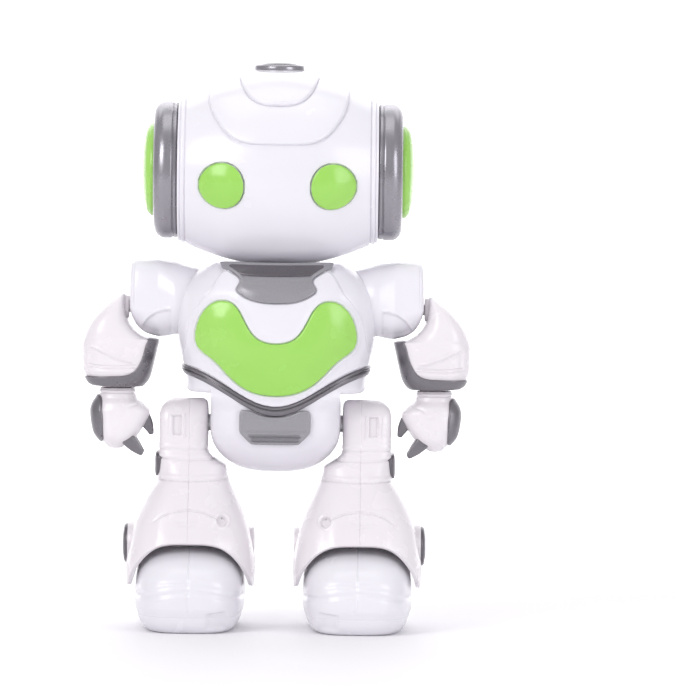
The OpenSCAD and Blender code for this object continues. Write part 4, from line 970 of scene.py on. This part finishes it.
# ================================================================== LEGS
def leg_in(s, z):
    r = 8.0 if s > 0 else 2.6
    return r - np.sqrt(np.maximum(0.0, r*r - np.maximum(0, z - 107.6 + r)**2))
lxl = Tab([[19,9.6],[29,8.9],[41,10.2],[46.5,11.4],[56,14.8],[66,19.6],[71,21.8],[76,22.8],[78.5,26.3],[81,30.0],[84,31.3],[108,31.3]])
lxr = Tab([[19,68.4],[29,69],[41,67.3],[46.5,66.3],[56,62.6],[66,57],[69,54.9],[76,54.4],[108,54.4]])
lb = Tab([[19,37],[29,36.5],[41,33.5],[50,29.5],[60,24.5],[66,21],[71,18],[76,15.5],[81,13],[85,11.9],[96,11.6],[108,11.6]])
ln = Tab([[19,3.6],[46,3.3],[60,2.9],[66,2.8],[78,3.2],[84,5],[108,5]])
def leg_half(s, side):
    m = side < 0; nm = "left" if side > 0 else "right"
    ts = arc_t(-pi/2, pi/2, 120, 3.2)
    ts = ends(ts)
    if s < 0: ts = np.array(sorted(set(np.round(list(ts) + list(np.linspace(0.93, 1.29, 36)) + list(np.linspace(-1.29, -0.93, 36)), 6))))
    e0, _ = sep(ts, 2.6)
    zb = 41 - 21*np.abs(e0)**3
    K = 128
    rows = []
    w = near_ends(0, 1, K, last=False, per=66, fine=(0.08, 0.2, 0.35, 0.55, 0.8))
    if s < 0: w = np.array(sorted(set(np.round(list(w) + list(np.linspace(0.175, 0.30, 26)), 6))))
    for q in w:
        z = zb + (HIPZ - zb)*q
        c = np.cos(ts); n = ln(z)
        ex = np.abs(c)**(2/n); ey = np.sign(np.sin(ts))*np.abs(np.sin(ts))**(2/n)
        h = (lxr(z) - SEAM) if s > 0 else (SEAM - lxl(z))
        rows.append(np.stack([SEAM + s*h*ex, lb(z)*ey, z], axis=1))
    # rounded knuckle over the hip axle
    c = np.abs(np.cos(ts)); ex = c**(2/5); ey = np.sign(np.sin(ts))*np.abs(np.sin(ts))**(2/5)
    h = 54.4 - SEAM if s > 0 else SEAM - 31.3
    for g in np.linspace(0, 1, 32)[1:]:
        a = g*math.radians(89.6)
        r = 11.6
        # shrink the side edge so that the top is softly rounded
        hh = h - 1.3*(g**3)
        zz = HIPZ + r*math.sin(a)*(0.985 + 0.015*(1 - ex))
        rows.append(np.stack([SEAM + s*(hh - leg_in(s, zz))*ex, r*math.cos(a)*ey, zz + 0*ex], axis=1))
    def disp(P, N):
        x, y, z = P[..., 0], P[..., 1], P[..., 2]
        fr = smooth((-y - 3)/2)                       # front of the leg
        o = 0*x
        # pocket and rib on the thigh
        if s > 0:
            px = smooth((x - 43.5)/0.5)*smooth((48.6 - x)/1.6)*smooth((z - 90.2)/0.5)*smooth((99.9 - z)/0.5)
            o = o - 2.2*px*fr
            o = o + 0.5*fr*(1 - smooth(np.abs(x - 49.4)/0.8))*smooth((z - 90)/1.0)*smooth((100.4 - z)/1.0)
        o = o + 0.8*fr*(1 - smooth(np.abs(x - 42.2)/0.9))*smooth((z - 89)/1.2)*smooth((101 - z)/1.2)
        # ridges across the thigh and the knee
        for zz, dp, hi in ((84.6, 0.55, 0.2), (80.0, 0.65, 0.4), (70.4, 0.75, 0.35)):
            bow = 0.9*np.cos((x - SEAM)/16*pi/2*0.8)
            o = o + (groove(np.abs(z - zz + bow), 0.75, dp) + hi*(1 - smooth(np.abs(z - zz + bow - 1.5)/1.1)))*smooth((-y - 3)/4)
        # raised shield on the shin, edged by an arch
        arch = [(24.5, 50.6), (27.5, 53.0), (33, 55.2), (40, 56.1), (47, 55.2), (52.5, 53.0), (56, 50.4)]
        za = np.interp(x, [p[0] for p in arch], [p[1] for p in arch])
        inx = smooth((x - 22.5)/6)*smooth((58 - x)/6)
        o = o + fr*inx*(0.75*smooth((za - z)/0.9)*smooth((z - 36)/5) + groove(np.abs(z - za - 0.5), 0.7, 0.55))
        for zz, xa, xb in ((50.6, 34, 48), (48.9, 35.5, 46.5)):
            o = o + groove(np.abs(z - zz), 0.7, 0.35)*smooth((x - xa)/2)*smooth((xb - x)/2)*fr
        # screw wells front and back
        for yy in (-1, 1):
            d = np.hypot(x - 23.9, z - 51.6)
            k = (np.sign(y) == yy)
            o = o - 2.4*(1 - smooth((d - 1.8)/0.9))*k + 0.35*(1 - smooth(np.abs(d - 3.2)/0.7))*k
        return o
    P = np.array(rows)
    part = "outer" if s > 0 else "inner"
    shell("leg_casing_%s_%s" % (part, nm), P if s > 0 else P[:, ::-1], WHITE2, nm + "_leg", ["%s_leg_%s_shell" % (nm, part)], th=1.8, er=0.24, disp=disp,
          mirror=m, rows=(True, False))

def leg_bits(side):
    m = side < 0; nm = "left" if side > 0 else "right"; sg = 1 if side > 0 else -1
    body = nm + "_leg"
    # ankle hubs: white boss and grey cap outside, plain boss inside
    lathe("ankle_boss_" + nm, [(0, 60), (9.9, 60), (9.9, 68.0), (9.6, 68.5), (9.0, 68.7), (0, 68.7)], WHITE2, body, at=(0, 0, ANKZ), seg=96, mirror=m)
    lathe("ankle_cap_" + nm, [(0, 68.0), (9.2, 68.0), (9.25, 68.9), (8.95, 69.6), (8.3, 70.1), (7.2, 70.35), (6.9, 70.2), (6.6, 70.0), (6.3, 70.2), (5.9, 70.55), (4, 70.75), (0, 70.8)],
          GREYD, body, [nm + "_leg_accents"], at=(0, 0, ANKZ), seg=96, mirror=m)
    lathe("ankle_boss_in_" + nm, [(0, 12.9), (8.3, 12.9), (8.35, 10.0), (8.15, 9.5), (7.6, 9.3), (2.8, 9.3), (2.4, 9.6), (2.4, 10.3), (0, 10.3)], WHITE2, body, at=(0, 0, ANKZ), seg=96, mirror=m)
    # grey knee accent
    yo = [(0, 82.6), (5.5, 82.4), (8.4, 81.4), (9.3, 79.6), (9.1, 75.5), (7.8, 72.4), (5.2, 70.9), (0, 70.6)]
    outline = chaikin(sym_poly(yo), 2)
    def surf(u, v, h):
        c = (np.clip(np.abs(u)/lb(v), 0, 0.99)); n = ln(v)
        x = SEAM + (lxr(v) - SEAM)*(1 - c**n)**(1/n)
        return np.stack([x + h, u, v], axis=1)
    plate("knee_accent_" + nm, outline, surf, 1.35, GREYD, body, er=0.7, depth=2.0, step=0.9, ring_step=0.6, mirror=m,
          hfun=lambda u, v: 0.5*smooth(dist_line(u, v, outline[::3], True)/3.0))
    for yy in (-1, 1):
        z = 51.6; n = float(ln(z)); b = float(lb(z)); h = SEAM - float(lxl(z)); q = (SEAM - 23.9)/h
        y = yy*b*(1 - q**n)**(1/n)
        screw("leg_screw_%s_%s" % ("front" if yy < 0 else "back", nm), (sg*23.9, y - yy*3.4, z), (-sg*0.35, yy*0.9, 0.25), body, r=1.6)

# ================================================================== FEET
fo = Sections([[7.9,24.4,45.4,3.3],[12,25.2,46.3,3.3],[17.5,25.4,46.3,3.3],[24,25.1,44.5,3.2],[29,24.3,41,3],[33,22.6,36,2.9],[36.5,19.6,29.5,2.7],
  [39,15.5,22,2.5],[40.6,10,13.5,2.3]])
def fo_pt(z, t, o=0.0):
    a, b, n = fo(z); c, s = np.cos(t), np.sin(t)
    c = np.sign(c)*np.abs(c)**(2/n); s = np.sign(s)*np.abs(s)**(2/n)
    return np.stack([FX + (a + o)*c, (b + o)*s, z + 0*t], axis=-1)
def fo_disp(P, N):
    x, y, z = P[..., 0], P[..., 1], P[..., 2]
    fr = smooth((-y - 6)/6)
    o = groove(np.abs(x - FX), 0.4, 0.35)*smooth((z - 8.5)/1)*smooth((np.abs(y) - 4)/3)
    # soft crease over the toe, with the cap under it standing a little proud
    zc = 17.6 + 1.3*np.cos((x - FX)/25*pi*1.1)
    o = o + 0.25*fr*smooth((zc - z)/2.4)*smooth((z - 8)/4) - 0.55*fr*(1 - smooth(np.abs(z - zc - 0.6)/1.9))
    o = o - 0.35*fr*(1 - smooth(np.abs(z - zc - 4.9)/1.5))*smooth((17 - np.abs(x - FX))/5)
    # notch at the inner front corner
    o = o - 1.1*smooth((x - 20.5)/2.2)*smooth((31.0 - x)/2.0)*smooth((11.4 - z - 0.12*(x - 20))/1.5)*(y < -20)
    return o
def foot(side):
    m = side < 0; nm = "left" if side > 0 else "right"; body = nm + "_foot"
    zs = np.concatenate([near_ends(7.8, 36.5, 84, last=False, fine=(0.06, 0.14, 0.25, 0.4)), np.linspace(36.5, 40.6, 26)[1:]])
    # angles spread evenly, with extra ones round the seam at the front and the back
    tt = list(np.linspace(0, 2*pi, 200, endpoint=False)) + list(np.linspace(1.5*pi - 0.012, 1.5*pi + 0.012, 9)) + list(np.linspace(0.5*pi - 0.012, 0.5*pi + 0.012, 9))
    t = np.array(sorted(set(np.round(tt, 5))))
    P = [fo_pt(z, t) for z in zs]
    cen = P[-1].mean(axis=0)
    ext = [cen + (P[-1] - cen)*f + np.array([0, 0, 0.75*math.sqrt(1 - f*f)]) for f in (0.97, 0.88, 0.72, 0.5, 0.25)]
    shell("foot_cover_" + nm, np.array(P + ext), WHITE, body, [nm + "_foot_shell"], ring=True, th=1.8, er=0.2, disp=fo_disp, cap1=True, mirror=m, rows=(True, False))
for sd in (1, -1):
    shoulder(sd); forearm(sd); hand(sd)
    for s in (1, -1): leg_half(s, sd)
    leg_bits(sd); foot(sd)

# ================================================================== SOLES, WHEELS
fsx = Tab([[0.0,18.2],[0.35,19.3],[0.9,20.3],[2.4,21.9],[4.6,23.3],[7.8,24.35]])
fsy = Tab([[0.0,39.2],[0.35,40.3],[0.9,41.3],[2.4,42.9],[4.6,44.3],[7.8,45.35]])
def sole(side):
    m = side < 0; nm = "left" if side > 0 else "right"; body = nm + "_foot"
    t = np.linspace(0, 2*pi, 220, endpoint=False); c, s = sep(t, 3.3)
    zs = [0.0, 0.1, 0.22, 0.35, 0.5, 0.7, 0.9, 1.2, 1.8, 2.5, 3.2, 4.2, 5.2, 6.2, 6.9, 7.25, 7.5, 7.65, 7.75]
    P = np.array([np.stack([FX + fsx(z)*c, fsy(z)*s, np.full(len(t), z)], axis=1) for z in zs])
    def disp(P, N):
        x, y, z = P[..., 0], P[..., 1], P[..., 2]
        return -1.1*smooth((x - 20.5)/2.2)*smooth((31.0 - x)/2.0)*smooth((z - 1.6)/1.5)*(y < -20) - 0.18*smooth((z - 7.3)/0.4)
    shell("foot_sole_wall_" + nm, P, WHITE, body, [nm + "_foot_sole"], ring=True, th=1.6, er=0.0, disp=disp, mirror=m, rows=(False, False))
    outline = [(18.2*a, 39.2*b) for a, b in zip(*sep(np.linspace(0, 2*pi, 160, endpoint=False), 3.3))]
    def well(x0, x1, y0, y1): return chaikin([(x0, y0), (x1, y0), (x1, y1), (x0, y1)], 1)
    holes = [well(k*10.6 - 4.8, k*10.6 + 4.8, 10.2, 29.0) for k in (-1, 1)]
    def surf(u, v, h): return np.stack([FX + u, v, -np.asarray(h)], axis=1)
    def hf(u, v):
        o = np.zeros(u.shape)
        for k in range(-4, 2): o += groove(np.abs(v - (k*7.2 - 2)), 0.9, 0.8)*smooth((14.5 - np.abs(u))/1.0)
        return o
    plate("foot_sole_plate_" + nm, outline, surf, 0.0, WHITE, body, er=0.25, depth=2.4, step=1.3, ring_step=0.9, holes=holes, hfun=hf, mirror=m)
    # walking wheels with grooved tyres on one axle
    body = nm + "_wheels"; sg = 1 if side > 0 else -1
    lathe("wheel_axle_" + nm, [(0, -10.1), (1.35, -10.1), (1.5, -9.9), (1.5, 9.9), (1.35, 10.1), (0, 10.1)], STEEL, body, [nm + "_drive_wheels"], at=(sg*FX, 19.6, 8.2), seg=40)
    for k in (-1, 1):
        prof = [(1.6, -3.7), (4.6, -3.7), (5.0, -3.2), (5.6, -3.1), (6.1, -3.6), (7.2, -3.75), (7.8, -3.4), (8.05, -2.8)]
        for g in np.linspace(-2.6, 2.6, 27):
            prof.append((8.05 - 0.35*max(0, math.cos((g/0.65)*pi))**2, g))
        prof += [(8.05, 2.8), (7.8, 3.4), (7.2, 3.75), (6.1, 3.6), (5.6, 3.1), (5.0, 3.2), (4.6, 3.7), (1.6, 3.7)]
        lathe("wheel_%s_%s" % ("a" if k < 0 else "b", nm), prof, RUBBER, body, at=(sg*(FX + k*10.6), 19.6, 8.2), seg=96)
for sd in (1, -1): sole(sd)

# ================================================================== BACK: screws and the power switch
def on_back(x, z): return float(tsurf(np.array([x]), np.array([z]), np.array([0.0]), 1)[0][1])
first = True
for x, z in ((33, 130), (-33, 130), (25, 160), (-25, 160)):
    y = on_back(x, z)
    n = Vector((x/60.0, 1.0, (z - 145)/60.0 if z > 155 else -0.12))
    screw("case_screw_%d" % (len(bpy.data.objects)), (x*0.985, y - 1.3, z), n, "torso", ["body_screws"] if first else (), r=1.9)
    first = False
for x in (14, -14):
    y = float(pb(90.0)*(1 - (14/float(pa(90.0)))**float(pn(90.0)))**(1/float(pn(90.0))))
    screw("pelvis_screw_" + ("left" if x > 0 else "right"), (x, y - 0.9, 90), (0, 1, -0.25), "torso", r=1.9)
screw("battery_cover_screw", (0, 35.4, 147), (0, 1, 0), "torso", r=2.1)

# slide switch: a ribbed thumb piece in a framed slot
def box_mesh(name, lo, hi, mat, body, nodes=(), r=0.35, ribs=0):
    bm = bmesh.new(); bmesh.ops.create_cube(bm, size=1.0)
    lo, hi = Vector(lo)*MM, Vector(hi)*MM
    for v in bm.verts: v.co = Vector([(lo[i] + hi[i])/2 + v.co[i]*(hi[i] - lo[i]) for i in range(3)])
    bmesh.ops.bevel(bm, geom=list(bm.edges), offset=r*MM, segments=4, profile=0.5, affect="EDGES")
    me = bpy.data.meshes.new(name); bm.to_mesh(me); bm.free()
    for p in me.polygons: p.use_smooth = True
    ob = bpy.data.objects.new(name, me); bpy.context.scene.collection.objects.link(ob)
    me.materials.append(mat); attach(ob, body)
    if nodes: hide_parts(*nodes)
    return ob
plate("switch_frame", chaikin([(-6.0, 156.0), (-5.2, 156.0), (5.2, 156.0), (6.0, 156.0), (6.0, 156.8), (6.0, 163.2), (6.0, 164.0), (5.2, 164.0), (-5.2, 164.0), (-6.0, 164.0), (-6.0, 163.2), (-6.0, 156.8)], 2), tsurf_b, 0.12, GREYM, "torso", er=0.08, depth=1.2, step=0.8, ring_step=0.5)
box_mesh("switch_stem", (-2.9, 28.5, 158.4), (-0.1, 34.0, 161.6), BLACK, "power_switch", ["power_switch_knob"])
for k in range(4):
    box_mesh("switch_rib_%d" % (k + 1), (-3.7 + k*1.15, 34.0, 157.7), (-2.9 + k*1.15, 35.4, 162.3), BLACK, "power_switch", r=0.25)
box_mesh("switch_pad", (-3.9, 33.9, 157.6), (0.9, 34.8, 162.4), BLACK, "power_switch", r=0.35)

# ================================================================== CAD pieces that stay
slot_mat = {"white_shell": WHITE, "green_plastic": GREEN, "grey_trim": GREY, "dark_plastic": BLACK, "steel": STEEL, "mech_plastic": NYLON,
            "pcb": PCBM, "battery": CELL, "rubber": RUBBER}
for sp in frame["record"]["subparts"]:
    ob = frame["nodes"].get(sp["node"])
    if ob is None: continue
    mt = slot_mat[sp["material_slot"]]
    if not ob.material_slots: ob.data.materials.append(mt)
    for ms in ob.material_slots: ms.material = mt

# ================================================================== FLOOR, LIGHT, CAMERA
def floor():
    m, nt, b = new_mat("pale_floor")
    n = noise(nt, 3.0, 3.0)
    r = ramp(nt, n.outputs["Fac"], (0.90, 0.89, 0.91, 1), (0.93, 0.92, 0.94, 1))
    nt.links.new(r.outputs["Color"], b.inputs["Base Color"])
    b.inputs["Roughness"].default_value = 0.6
    # seen from behind or from below, the backdrop lets the camera look through
    geo = nt.nodes.new("ShaderNodeNewGeometry"); tr = nt.nodes.new("ShaderNodeBsdfTransparent"); mix = nt.nodes.new("ShaderNodeMixShader")
    nt.links.new(geo.outputs["Backfacing"], mix.inputs[0])
    nt.links.new(b.outputs["BSDF"], mix.inputs[1])
    nt.links.new(tr.outputs["BSDF"], mix.inputs[2])
    nt.links.new(mix.outputs["Shader"], next(n for n in nt.nodes if n.type == "OUTPUT_MATERIAL").inputs["Surface"])
    me = bpy.data.meshes.new("floor")
    # floor that curves up into a backdrop far behind
    V = []; F = []
    prof = [(-6.0, 0.0), (2.0, 0.0)] + [(2.0 + 1.5*math.sin(a), 1.5 - 1.5*math.cos(a)) for a in np.linspace(0.1, pi/2, 12)] + [(3.5, 6.0)]
    for y, z in prof: V += [(-9, y, z), (9, y, z)]
    for i in range(len(prof) - 1): F.append((2*i, 2*i + 1, 2*i + 3, 2*i + 2))
    me.from_pydata(V, [], F)
    for p in me.polygons: p.use_smooth = True
    ob = bpy.data.objects.new("floor", me); bpy.context.scene.collection.objects.link(ob)
    me.materials.append(m)
floor()

w = bpy.data.worlds.new("studio"); bpy.context.scene.world = w; w.use_nodes = True
w.node_tree.nodes["Background"].inputs["Color"].default_value = (0.98, 0.97, 1.0, 1)
w.node_tree.nodes["Background"].inputs["Strength"].default_value = 0.60
def area(name, loc, look, size, power, col=(1, 1, 1)):
    l = bpy.data.lights.new(name, "AREA"); l.shape = "RECTANGLE"; l.size, l.size_y = size; l.energy = power; l.color = col
    o = bpy.data.objects.new(name, l); bpy.context.scene.collection.objects.link(o)
    o.location = loc
    o.rotation_euler = (Vector(look) - Vector(loc)).to_track_quat("-Z", "Y").to_euler()
area("key", (-0.95, -1.20, 0.90), (0, 0, 0.14), (0.8, 0.9), 10.5, (1.0, 0.985, 0.99))
area("fill", (1.15, -1.05, 0.55), (0, 0, 0.13), (0.7, 1.0), 6.0, (0.97, 0.965, 1.0))
area("top", (0.0, 0.0, 1.25), (0, 0, 0.1), (0.9, 0.7), 2.1)
area("wash", (0.0, 1.5, 1.6), (0, 1.5, 0), (2.6, 1.4), 12.0)
area("backdrop", (0.0, 0.9, 1.5), (0, 4.6, 0.9), (3.0, 0.8), 95.0)

D, EL, PX = 3.0, math.radians(2.5), 0.000468
cam = bpy.data.cameras.new("camera"); co = bpy.data.objects.new("camera", cam)
bpy.context.scene.collection.objects.link(co); bpy.context.scene.camera = co
cam.sensor_width = 36.0; cam.lens = 36.0*D/(700*PX); cam.clip_start = 0.05; cam.clip_end = 50
aim = Vector((0.0344, 0, 0.1306))
co.location = aim + Vector((0, -D*math.cos(EL), D*math.sin(EL)))
co.rotation_euler = (Matrix.Rotation(pi/2 - EL, 4, "X") @ Matrix.Rotation(math.radians(0.7), 4, "Z")).to_euler()
bpy.context.scene.view_settings.view_transform = "Standard"
bpy.context.scene.view_settings.look = "None"
